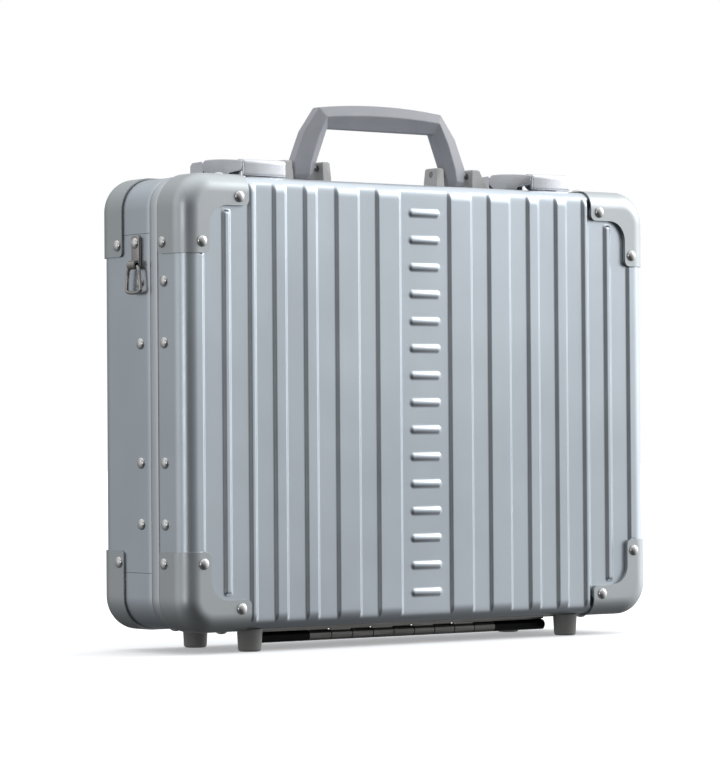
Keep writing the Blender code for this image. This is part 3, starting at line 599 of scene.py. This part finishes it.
lip = [(2.1, -0.15), (2.1, -1.2), (2.5, -1.9), (3.2, -2.1), (4.0, -2.1), (4.7, -1.9),
       (5.1, -1.2), (5.1, -0.15)]
add_piece("seal_lip", [frame_ring(lip)], seal_rubber, "base", ["gasket"])
add_piece("wall_joints", [wall_joint(wide, high) for wide in (1, -1) for high in (1, -1)],
          seal_rubber, "base")


# ------------------------------------------------------------------ linings and pocket
# Board trays covered in a dark short-pile cloth line both halves. The lid's holds a flat
# document pocket of the same cloth with a stitched hem.

def cloth(name, dark, light):
    """Short pile: two dark tones in a tight weave, with a soft sheen."""
    made, nodes, links, shader, place = new_finish(name, 0.92, 0.0)
    weave = nodes.new("ShaderNodeTexVoronoi")
    weave.inputs["Scale"].default_value = 1400
    links.new(place, weave.inputs["Vector"])
    links.new(two_tones(nodes, links, weave.outputs["Distance"], dark, light),
              shader.inputs["Base Color"])
    shader.inputs["Sheen Weight"].default_value = 0.35
    shader.inputs["Sheen Roughness"].default_value = 0.5
    raised(nodes, links, shader, weave.outputs["Distance"], 0.6, 0.0004)
    return made


lining_cloth = cloth("lining_cloth", (0.035, 0.036, 0.040), (0.085, 0.087, 0.095))


LINING_INSET = 3.6 * MM
LINING_THICK = 1.5 * MM


def lined_tray(face_y, rim_y, inset=LINING_INSET, thick=LINING_THICK):
    """An open tray: outer rings from its floor to its rim, then inner rings back to the floor."""
    outward = 1 if face_y > rim_y else -1
    rows = []
    turns = np.linspace(0, math.pi / 2, 7)
    bend = BEND - inset
    path = [(bend * (1 - math.sin(t)), bend * (1 - math.cos(t))) for t in turns]
    for step, deep in path:
        rows.append((inset + step, face_y - outward * deep))
    rows.append((inset, rim_y))
    rows.append((inset + thick, rim_y))
    inner_bend = bend - thick
    for t in turns[::-1]:
        rows.append((inset + thick + inner_bend * (1 - math.sin(t)),
                     face_y - outward * (thick + inner_bend * (1 - math.cos(t)))))
    points = outline_rows(rows)
    return points, tube_faces(points.shape[1], len(points))


for half, floor_end in (("base", 1), ("lid", 0)):
    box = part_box(f"{half}_lining")
    add_piece(f"{half}_lining_tray", [lined_tray(box[floor_end].y, box[1 - floor_end].y)],
              lining_cloth, half, [f"{half}_lining"])


def slab_rings(low, high, radius, edge, steps=6):
    """A flat pad in the X-Z plane with rounded corners and softly rounded edges."""
    centre_x, centre_z = (low[0] + high[0]) / 2, (low[2] + high[2]) / 2
    half_x, half_z = (high[0] - low[0]) / 2, (high[2] - low[2]) / 2
    sign_x, sign_z, cosine, sine = corner_turns(8)
    rows = []
    for t in np.linspace(0, math.pi, 2 * steps + 1):
        drawn = edge * (1 - math.sin(t))
        y = low[1] + edge * (1 - math.cos(t)) if t <= math.pi / 2 else (
            high[1] - edge * (1 + math.cos(t)))
        x = centre_x + sign_x * (half_x - radius) + (radius - drawn) * cosine
        z = centre_z + sign_z * (half_z - radius) + (radius - drawn) * sine
        rows.append(np.stack([x, np.full_like(x, y), z], axis=-1))
    rows = np.array(rows)
    return rows, tube_faces(rows.shape[1], len(rows))


HEM = 0.4 * MM
low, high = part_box("lid_pocket")
cloth_high = (high.x, high.y - HEM, high.z - 14 * MM)
hem_low = (low.x + 1 * MM, low.y + HEM, high.z - 13 * MM)
add_piece("lid_pocket_cloth",
          [slab_rings(tuple(low), cloth_high, 10 * MM, 1 * MM),
           slab_rings(hem_low, tuple(high), 4 * MM, 1.2 * MM)],
          lining_cloth, "lid", ["lid_pocket"])


# ------------------------------------------------------------------ corner caps
# Eight pressed aluminium caps wrap the corners of both panels. Each has two arms joined by a
# hollow fillet on the face and a flange over the wall, and stands proud of the shell.

CAP_FLANGE = 31 * MM
STAND = 1.5 * MM
CAP_SHEET = 1.2 * MM
FLANGE_END = 3.5 * MM


def cap_rows(stand, tuck):
    """Rows of a cap, for an arm along the top, the corner, and an arm down the side. Each row
    runs from the flange's end over the bend to the inner edge of the face. tuck moves the flat
    part inwards, so that a cap's underside can follow the pressed sheet below it."""
    reach = CORNER
    arm = CAP_ARM - reach
    lengths = arm * (1 - np.linspace(0, 1, 15) ** 1.4)
    turns = np.linspace(0, math.pi / 2, 19)
    along = np.concatenate([-lengths, np.zeros(17), lengths[::-1]])
    turn = np.concatenate([np.full(15, math.pi / 2), turns[::-1][1:-1], np.zeros(15)])
    flange = np.concatenate([CAP_FLANGE - FLANGE_END * (1 - np.cos(np.linspace(0, math.pi / 2, 5))),
                             np.linspace(CAP_FLANGE - 5 * MM, BEND + 1 * MM, 6)])
    bend = np.linspace(math.pi / 2, 0, 10)
    face = np.concatenate([np.linspace(BEND, CAP_WIDTH - CAP_END, 6)[1:],
                           CAP_WIDTH - CAP_END * (1 - np.sin(np.linspace(0, math.pi / 2, 6)[1:]))])
    rows = []
    for step, angle in zip(along, turn):
        row = []
        out = (math.cos(angle), math.sin(angle))
        side = (math.sin(angle), -math.cos(angle))
        centre = (HALF_WIDTH - CORNER, HALF_HEIGHT - CORNER)
        hollow = (HALF_WIDTH - CAP_WIDTH - CAP_FILLET, HALF_HEIGHT - CAP_WIDTH - CAP_FILLET)
        size = abs(step)
        for deep in flange:
            round_off = max(0.0, deep - (CAP_FLANGE - FLANGE_END)) / FLANGE_END
            end = CAP_ARM - FLANGE_END * (1 - math.sqrt(max(0.0, 1 - round_off ** 2)))
            shift = size * (end - reach) / arm
            spot = [centre[k] + out[k] * (CORNER + stand) + side[k] * math.copysign(shift, step)
                    for k in range(2)]
            row.append((spot[0], FRONT + deep, spot[1]))
        for t in bend:
            level = (BEND + stand) * math.cos(t)
            spot = [centre[k] + out[k] * (CORNER - BEND + (BEND + stand) * math.sin(t))
                    + side[k] * step for k in range(2)]
            row.append((spot[0], FRONT + BEND - level, spot[1]))
        for inset in face:
            share = (inset - BEND) / (CAP_WIDTH - BEND)
            over = max(0.0, inset - (CAP_WIDTH - CAP_END)) / CAP_END
            end = CAP_ARM - CAP_END * (1 - math.sqrt(max(0.0, 1 - over ** 2)))
            shift = math.copysign(size * (end - reach) / arm, step)
            from_edge = [centre[k] + out[k] * (CORNER - BEND) + side[k] * shift
                         for k in range(2)]
            slide = size * (end - CAP_WIDTH - CAP_FILLET) / arm
            to_inner = [hollow[k] + out[k] * CAP_FILLET + side[k] * math.copysign(slide, step)
                        for k in range(2)]
            spot = [from_edge[k] + (to_inner[k] - from_edge[k]) * share for k in range(2)]
            sink = tuck * float(eased((inset - BEND) / (2.5 * MM)))
            row.append((spot[0], FRONT - stand + sink, spot[1]))
        rows.append(row)
    return np.array(rows)


def cap_parts(mirror):
    """A cap as a closed shell: its outer rows, then its inner rows backwards."""
    outer = cap_rows(STAND, 0.0)
    inner = cap_rows(STAND - CAP_SHEET, PRESS)
    rings = np.concatenate([outer, inner[:, ::-1]], axis=1)
    points = rings * np.array(mirror)
    points[:, :, 2] += MIDDLE
    count = rings.shape[1]
    faces = ring_faces(count, len(rings))
    half = outer.shape[1]
    for row in (0, len(rings) - 1):
        start = row * count
        faces += [[start + k, start + k + 1, start + count - 2 - k, start + count - 1 - k]
                  for k in range(half - 1)]
    return points, faces


def softened(piece, width, segments=2, angle=35):
    """Bevel the sharp edges of a piece."""
    bevel = piece.modifiers.new("softened", "BEVEL")
    bevel.width = width
    bevel.segments = segments
    bevel.limit_method = "ANGLE"
    bevel.angle_limit = math.radians(angle)
    bevel.harden_normals = True
    return piece


cap_metal = anodised("cap_metal", (0.43, 0.455, 0.465), (0.475, 0.50, 0.51), 0.40, 3400, 0.00015)
for half, deep in (("lid", 1), ("base", -1)):
    for end, high in (("top", 1), ("bottom", -1)):
        for side, wide in (("right", 1), ("left", -1)):
            node = f"cap_{half}_{end}_{side}"
            piece = add_piece(node + "_pressed", [cap_parts((wide, deep, high))], cap_metal,
                              half, [node], 50)
            softened(piece, 0.3 * MM, 2, 50)


# ------------------------------------------------------------------ rivets
# Domed steel rivets, polished to a mirror, hold the caps and the shells' walls to the frames.

RIVET = 4.3 * MM
DOME = 2.3 * MM


def dome_parts(place, outward, radius=RIVET, rise=DOME):
    """A dome turned about its outward axis: radius falls as a cosine, height rises as a sine."""
    outward = np.array(outward, float)
    helper = np.array([0, 0, 1.0]) if abs(outward[2]) < 0.5 else np.array([1.0, 0, 0])
    first = np.cross(helper, outward)
    second = np.cross(outward, first)
    sweep = np.linspace(0, 2 * math.pi, 24, endpoint=False)
    rise_turns = np.linspace(0, 1.48, 8)
    radii = np.concatenate([[radius, radius], radius * np.cos(rise_turns[1:])])
    heights = np.concatenate([[-0.4 * MM, 0.12 * rise],
                              0.12 * rise + 0.88 * rise * np.sin(rise_turns[1:])])
    circle = np.cos(sweep)[:, None] * first + np.sin(sweep)[:, None] * second
    rows = (np.array(place) + radii[:, None, None] * circle[None]
            + heights[:, None, None] * outward)
    return rows, tube_faces(len(sweep), len(radii))


def polished(name, dark, light, roughness):
    """Bright plate with faint wipe marks in its gloss."""
    made, nodes, links, shader, place = new_finish(name, roughness, 1.0)
    wipe = noise_at(nodes, links, place, 240, (1, 1, 0.3), detail=3.0)
    toned(nodes, links, shader, wipe, dark, light)
    glossed(nodes, links, shader, wipe, roughness * 0.7, roughness * 1.5)
    raised(nodes, links, shader, wipe, 0.1, 0.00003)
    return made


rivet_chrome = polished("rivet_chrome", (0.58, 0.57, 0.56), (0.66, 0.65, 0.64), 0.06)
near, far = 15.8 * MM, 49.4 * MM
lid_row, base_row = 25.1 * MM, 56 * MM
wall_rises = (44 * MM, 89.1 * MM)
lid_rivets, base_rivets = [], []
for half, rivets, face_y, outward in (("lid", lid_rivets, FRONT, -1),
                                      ("base", base_rivets, BACK, 1)):
    flange_y = face_y - outward * lid_row
    for wide in (1, -1):
        for high in (1, -1):
            at_side = (wide * (HALF_WIDTH - near), MIDDLE + high * (HALF_HEIGHT - far))
            at_end = (wide * (HALF_WIDTH - far), MIDDLE + high * (HALF_HEIGHT - near))
            for x, z in (at_side, at_end):
                rivets.append(dome_parts((x, face_y + outward * STAND, z), (0, outward, 0)))
            rivets.append(dome_parts((wide * (HALF_WIDTH + STAND), flange_y, at_side[1]),
                                     (wide, 0, 0)))
            rivets.append(dome_parts((at_end[0], flange_y,
                                      MIDDLE + high * (HALF_HEIGHT + STAND)), (0, 0, high)))
for rivets, wall_y in ((lid_rivets, FRONT + lid_row), (base_rivets, FRONT + base_row)):
    for wide in (1, -1):
        for rise in wall_rises:
            for high in (1, -1):
                rivets.append(dome_parts((wide * HALF_WIDTH, wall_y, MIDDLE + high * rise),
                                         (wide, 0, 0)))
add_piece("lid_rivets", lid_rivets, rivet_chrome, "lid")
add_piece("base_rivets", base_rivets, rivet_chrome, "base")


# ------------------------------------------------------------------ feet
# Four moulded rubber feet, tapered, with a rounded lower edge, screwed under the shells.

def turned(profile, x, y, segments=48):
    """A profile of (radius, height) turned about an upright axis, its ends filled."""
    sweep = np.linspace(0, 2 * math.pi, segments, endpoint=False)
    rows = np.array([[(x + r * math.cos(t), y + r * math.sin(t), z) for t in sweep]
                     for r, z in profile])
    return rows, tube_faces(segments, len(rows))


foot_rubber = plain_soft("foot_rubber", (0.19, 0.184, 0.178), (0.24, 0.232, 0.224), 0.5, 1100,
                         0.0002)
for half in ("lid", "base"):
    for side in ("left", "right"):
        node = f"foot_{half}_{side}"
        low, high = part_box(node)
        x, y = (low.x + high.x) / 2, (low.y + high.y) / 2
        wide = (high.x - low.x) / 2
        tip = wide * 0.9
        edge = 2.2 * MM
        profile = [(tip - edge + edge * math.sin(t), low.z + edge * (1 - math.cos(t)))
                   for t in np.linspace(0, 1.35, 6)]
        profile += [(wide - 0.25 * MM, high.z - 1.2 * MM), (wide, high.z - 0.8 * MM),
                    (wide, high.z)]
        add_piece(node + "_moulded", [turned(profile, x, y)], foot_rubber, half, [node])


# ------------------------------------------------------------------ handle
# A moulded six-sided grip: flat outer and inner faces, with a ridge along each side. Its legs
# drop straight into the brackets, where a steel pin lets it fold either way.

HANDLE_Y = 4.0
HANDLE_FACE = 4.0
HANDLE_RIDGE = 8.5


def handle_rings():
    """Rings of six points each, from the right foot over the arched top to the left foot."""
    right = [((82.4, 4), (73, 4), (67, 4), HANDLE_FACE)]
    right += [(*row, HANDLE_RIDGE) for row in (
        ((83.2, 8), (72.4, 8), (66.2, 8)), ((84, 18), (70.5, 18), (62.6, 18)),
        ((74.3, 41), (63.6, 37), (54.8, 37.5)), ((60, 60.2), (55.3, 52.8), (52.2, 44.2)))]
    arched = []
    for x in np.linspace(48, 0, 9):
        outer = 60.2 + 3.5 * (1 - (x / 60) ** 2)
        ridge = 52.8 + 2.6 * (1 - (x / 55.3) ** 2)
        arched.append(((x, outer), (x, ridge), (x, 44.2), HANDLE_RIDGE))
    stations = right + arched
    stations += [tuple((-x, z) for x, z in row[:3]) + row[3:] for row in reversed(stations[:-1])]
    rings = []
    for outer, ridge, inner, half_ridge in stations:
        rings.append([(spot[0] * MM, (HANDLE_Y + y) * MM, TOP + spot[1] * MM) for spot, y in (
            (outer, HANDLE_FACE), (outer, -HANDLE_FACE), (ridge, -half_ridge),
            (inner, -HANDLE_FACE), (inner, HANDLE_FACE), (ridge, half_ridge))])
    return np.array(rings), tube_faces(6, len(rings))


grip_plastic = plain_soft("grip_plastic", (0.34, 0.345, 0.375), (0.385, 0.39, 0.42), 0.42, 1300,
                          0.00012)
grip = add_piece("handle_grip", [handle_rings()], grip_plastic, "handle", ["handle"], 20)
softened(grip, 0.8 * MM, 3, 20)


# ------------------------------------------------------------------ latch levers
# Each latch is a chromed pressing: a crowned top with two cheeks, hinged on a pin at its rear,
# and a thick nose that stands a little forward of the cheeks and hooks over the lid's keeper.

def satin_chrome(name):
    """Satin chrome: fine even grain, slow tone changes."""
    made, nodes, links, shader, place = new_finish(name, 0.26, 1.0)
    cloud = noise_at(nodes, links, place, 60, detail=3.0)
    toned(nodes, links, shader, cloud, (0.60, 0.61, 0.64), (0.66, 0.67, 0.70))
    glossed(nodes, links, shader, cloud, 0.23, 0.31)
    grain = noise_at(nodes, links, place, 2600, detail=2.0)
    raised(nodes, links, shader, grain, 0.05, 0.00001)
    return made


def pillow_prism(outline, low, high, round_low, round_high):
    """A (y, z) outline carried along X, drawn in along its own normals near rounded ends."""
    outline = np.array(outline)
    ahead = np.roll(outline, -1, axis=0) - outline
    ahead /= np.linalg.norm(ahead, axis=1)[:, None]
    behind = np.roll(ahead, 1, axis=0)
    normal = np.stack([ahead[:, 1] + behind[:, 1], -ahead[:, 0] - behind[:, 0]], axis=1)
    normal /= np.linalg.norm(normal, axis=1)[:, None]
    area = np.sum(outline[:, 0] * np.roll(outline[:, 1], -1)
                  - outline[:, 1] * np.roll(outline[:, 0], -1))
    inward = -normal * np.sign(area)
    stations = []
    if round_low:
        stations += [(low + round_low * (1 - math.cos(t)), round_low * (1 - math.sin(t)))
                     for t in np.linspace(0, math.pi / 2, 5)]
    else:
        stations.append((low, 0))
    if round_high:
        stations += [(high - round_high * (1 - math.cos(t)), round_high * (1 - math.sin(t)))
                     for t in np.linspace(math.pi / 2, 0, 5)]
    else:
        stations.append((high, 0))
    rows = []
    for x, drawn in stations:
        ring = outline + inward * drawn
        rows.append(np.column_stack([np.full(len(ring), x), ring]))
    return np.array(rows), tube_faces(len(outline), len(rows))


LATCH_X = 140 * MM
LATCH_HALF = 18 * MM
CHEEK_OUT = 1.5 * MM
CHEEK = 1.8 * MM
PIN_Y = FRONT + 64.5 * MM
PIN_Z = TOP + 11 * MM
NOSE_Y = FRONT + 17.5 * MM


def arc(centre_y, centre_z, radius, start, stop, count):
    """Points of a circle arc in the Y-Z plane, angles in degrees."""
    return [(centre_y + radius * math.cos(math.radians(a)),
             centre_z + radius * math.sin(math.radians(a)))
            for a in np.linspace(start, stop, count)]


def lever_parts(centre):
    """Crowned top, two cheeks with round tails, and the nose block."""
    crown = [(NOSE_Y + (PIN_Y - NOSE_Y) * t, TOP + (12.9 + 3.1 * math.sin(t * math.pi / 2)) * MM)
             for t in np.linspace(0.02, 0.94, 14)]
    tail = arc(PIN_Y, PIN_Z, 5 * MM, 88, -60, 12)
    under = [(PIN_Y - 4 * MM, TOP + 2.4 * MM), (PARTING + 2 * MM, TOP + 2.4 * MM),
             (PARTING + 0.6 * MM, TOP + 4.4 * MM), (NOSE_Y + 2.6 * MM, TOP + 5.2 * MM),
             (NOSE_Y + 0.2 * MM, TOP + 6.2 * MM), (NOSE_Y - 0.2 * MM, TOP + 11.8 * MM)]
    cheek = crown + tail + under
    band = crown + arc(PIN_Y, PIN_Z, 5 * MM, 88, 80, 2) + arc(PIN_Y, PIN_Z, 3.5 * MM, 80, 88, 2)
    band += [(y, z - SHEET) for y, z in reversed(crown)]
    tip = NOSE_Y - 1.8 * MM
    nose = [(tip + 1.0 * MM, TOP + 1.3 * MM), (tip + 0.3 * MM, TOP + 1.6 * MM),
            (tip, TOP + 2.4 * MM), (tip, TOP + 3.6 * MM), (tip, TOP + 10.2 * MM),
            (tip, TOP + 11.8 * MM), (tip + 0.4 * MM, TOP + 12.8 * MM),
            (tip + 1.4 * MM, TOP + 13.5 * MM), (tip + 2.8 * MM, TOP + 13.8 * MM),
            (tip + 8.4 * MM, TOP + 14.2 * MM),
            (tip + 8.4 * MM, TOP + 5.6 * MM), (tip + 3.2 * MM, TOP + 5.2 * MM),
            (tip + 2.8 * MM, TOP + 1.3 * MM)]
    half = LATCH_HALF + CHEEK_OUT
    return [pillow_prism(cheek, centre - half, centre - half + CHEEK, 0.8 * MM, 0),
            pillow_prism(cheek, centre + half - CHEEK, centre + half, 0, 0.8 * MM),
            pillow_prism(band, centre - half + 1.2 * MM, centre + half - 1.2 * MM, 0, 0),
            pillow_prism(nose, centre - half + 0.6 * MM, centre + half, 1 * MM, 1 * MM)]


latch_plate = satin_chrome("latch_plate")
for side, sign in (("left", -1), ("right", 1)):
    node = f"latch_lever_{side}"
    add_piece(node + "_pressed", lever_parts(sign * LATCH_X), latch_plate, node,
              [node], 38)


# ------------------------------------------------------------------ strap tabs and rings
# A folded and rolled steel tab is riveted to each side wall. A heavy wire ring, wider at its
# foot, hangs in the rolled eye for a shoulder strap. Both are dark nickel plated.

EYE_OUT = 3.8 * MM
EYE_RISE = 102 * MM
TAB_RIVET_RISE = 118.2 * MM
TAB_OUT = 2.5 * MM
WIRE = 1.38 * MM


def rolled_tab(sign, low, high):
    """Plate with clipped corners and the rolled eye below it, as closed prisms."""
    eye_x, eye_z = sign * (HALF_WIDTH + EYE_OUT), MIDDLE + EYE_RISE
    y = (low.y + high.y) / 2
    half = 4.8 * MM
    clip = 2 * MM
    top = eye_z + 22 * MM
    plate = [(y - half, eye_z - 1 * MM), (y + half, eye_z - 1 * MM), (y + half, top - clip),
             (y + half - clip, top), (y - half + clip, top), (y - half, top - clip)]
    near, far = sorted((sign * (HALF_WIDTH + 0.3 * MM), sign * (HALF_WIDTH + TAB_OUT)))
    parts = [pillow_prism(plate, near, far, 0.4 * MM, 0.4 * MM)]
    ring = []
    for radius in (3.35, 1.75):
        ring.append([(radius * MM * math.cos(a), radius * MM * math.sin(a))
                     for a in np.linspace(0, 2 * math.pi, 28, endpoint=False)])
    rows = []
    for outline, across in ((ring[0], -half + 0.3 * MM), (ring[0], half - 0.3 * MM),
                            (ring[1], half - 0.3 * MM), (ring[1], -half + 0.3 * MM)):
        rows.append([(eye_x + a, y + across, eye_z + b) for a, b in outline])
    parts.append((np.array(rows), ring_faces(28, 4, loop=True)))
    rivet = dome_parts((sign * (HALF_WIDTH + TAB_OUT), y, MIDDLE + TAB_RIVET_RISE),
                       (sign, 0, 0), 4.1 * MM, 2.2 * MM)
    return parts, rivet


def swept_wire(path, radius, x, sides=12):
    """A wire that follows a closed path in a plane of constant X."""
    path = np.array(path)
    ahead = np.roll(path, -1, axis=0) - np.roll(path, 1, axis=0)
    ahead /= np.linalg.norm(ahead, axis=1)[:, None]
    normal = np.stack([ahead[:, 1], -ahead[:, 0]], axis=1)
    turn = np.linspace(0, 2 * math.pi, sides, endpoint=False)
    rows = np.zeros((len(path), sides, 3))
    rows[:, :, 0] = x + radius * np.cos(turn)[None, :]
    rows[:, :, 1:] = (path[:, None, :] + normal[:, None, :] * radius * np.sin(turn)[None, :, None])
    return rows, ring_faces(sides, len(path), loop=True)


def soft_corners(path, passes=3):
    """Cut the corners of a closed path again and again, each time a quarter from either end."""
    path = np.array(path)
    for _ in range(passes):
        ahead = np.roll(path, -1, axis=0)
        path = np.stack([0.75 * path + 0.25 * ahead, 0.25 * path + 0.75 * ahead],
                        axis=1).reshape(-1, 2)
    return path


ring_plate = polished("ring_plate", (0.33, 0.31, 0.29), (0.42, 0.40, 0.38), 0.12)
for side, sign in (("left", -1), ("right", 1)):
    low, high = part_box(f"strap_tab_{side}")
    tab, rivet = rolled_tab(sign, low, high)
    add_piece(f"strap_tab_{side}_folded", tab, ring_plate, "base", [f"strap_tab_{side}"])
    add_piece(f"strap_tab_{side}_rivet", [rivet], rivet_chrome, "base")
    low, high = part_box(f"strap_ring_{side}")
    y = (low.y + high.y) / 2
    top, foot = high.z - 1.45 * MM, low.z + 1.45 * MM
    path = [(y - 6.9 * MM, top), (y + 6.9 * MM, top), (y + 8.6 * MM, foot + 5 * MM),
            (y + 9.3 * MM, foot), (y - 9.3 * MM, foot), (y - 8.6 * MM, foot + 5 * MM)]
    straight = soft_corners(path, 4)
    add_piece(f"strap_ring_{side}_wire", [swept_wire(straight, WIRE, (low.x + high.x) / 2)],
              ring_plate, f"strap_ring_{side}", [f"strap_ring_{side}"])


# ------------------------------------------------------------------ carried-over small parts
# Cast brackets, latch housings, keepers, dials, pins, the hinge and the stay links keep their
# CAD shape; their edges are broken and they get their real finishes. The base hinge leaf's end
# barrels also get a near-black painted shade, standing in for the shadow under the case.

def carried(node, finish, width, angle=32):
    """A CAD node with its own finish and broken edges."""
    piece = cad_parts[node]
    piece.data.materials.clear()
    piece.data.materials.append(finish)
    weld = piece.modifiers.new("weld", "WELD")
    weld.merge_threshold = 0.00001
    if width:
        softened(piece, width, 2, angle)
    return piece


bracket_paint = plain_soft("bracket_paint", (0.44, 0.435, 0.425), (0.50, 0.495, 0.485), 0.42,
                           900, 0.00015)
dark_steel = polished("dark_steel", (0.27, 0.25, 0.23), (0.34, 0.32, 0.30), 0.16)


# Bounds of the painted shade on the base hinge leaf: past BARREL_START from the middle and below
# BARREL_TOP the colour turns near-black, standing in for shadow.
BARREL_START = 90.5 * MM
BARREL_TOP = 12.9 * MM


def hinge_metal(painted_shade_ends):
    """Oxidised hinge steel. For the base's leaf, the long end barrels low down are painted
    near-black: a painted shade for the shadow under the case.
    """
    made, nodes, links, shader, place = new_finish("hinge_steel", 0.42, 1.0)
    scratch = noise_at(nodes, links, place, 700, (0.05, 1, 1), detail=3.0)
    tone = two_tones(nodes, links, spread(nodes, links, scratch, 0.0, 1.0),
                     (0.16, 0.155, 0.15), (0.26, 0.25, 0.24))
    raised(nodes, links, shader, scratch, 0.2, 0.00003)
    if not painted_shade_ends:
        links.new(tone, shader.inputs["Base Color"])
        return made
    # Painted shade: the end barrels turn near-black where the shadow under the case falls.
    split = nodes.new("ShaderNodeSeparateXYZ")
    links.new(place, split.inputs[0])
    along = maths(nodes, links, "ABSOLUTE", split.outputs["X"])
    past = maths(nodes, links, "GREATER_THAN", along.outputs[0], BARREL_START)
    below = maths(nodes, links, "LESS_THAN", split.outputs["Z"], BARREL_TOP)
    both = maths(nodes, links, "MULTIPLY", past.outputs[0], below.outputs[0])
    mixed = nodes.new("ShaderNodeMix")
    mixed.data_type = "RGBA"
    links.new(both.outputs[0], mixed.inputs[0])
    links.new(tone, mixed.inputs[6])
    mixed.inputs[7].default_value = (0.012, 0.012, 0.012, 1)
    links.new(mixed.outputs[2], shader.inputs["Base Color"])
    return made


dial_plastic = plain_soft("dial_plastic", (0.03, 0.03, 0.032), (0.05, 0.05, 0.053), 0.35, 900,
                          0.0001)
for side in ("left", "right"):
    carried(f"handle_bracket_{side}", bracket_paint, 0.6 * MM)
    carried(f"handle_pin_{side}", dark_steel, 0.3 * MM)
    carried(f"latch_body_{side}", latch_plate, 0.4 * MM)
    carried(f"latch_pin_{side}", dark_steel, 0.2 * MM)
    carried(f"latch_keeper_{side}", latch_plate, 0.3 * MM)
    carried(f"dial_shaft_{side}", dark_steel, 0.2 * MM)
    for number in (1, 2, 3):
        carried(f"dial_{side}_{number}", dial_plastic, 0.15 * MM, 40)
    for half in ("base", "lid"):
        carried(f"stay_{half}_{side}", frame_metal, 0.2 * MM)
        carried(f"stay_bracket_{half}_{side}", dark_steel, 0.3 * MM)
# The base leaf carries the painted shade on its end barrels.
carried("hinge_leaf_base", hinge_metal(True), 0.2 * MM)
carried("hinge_leaf_lid", hinge_metal(False), 0.2 * MM)
carried("hinge_pin", dark_steel, 0.2 * MM)


# ------------------------------------------------------------------ scene bounds

low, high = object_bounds()
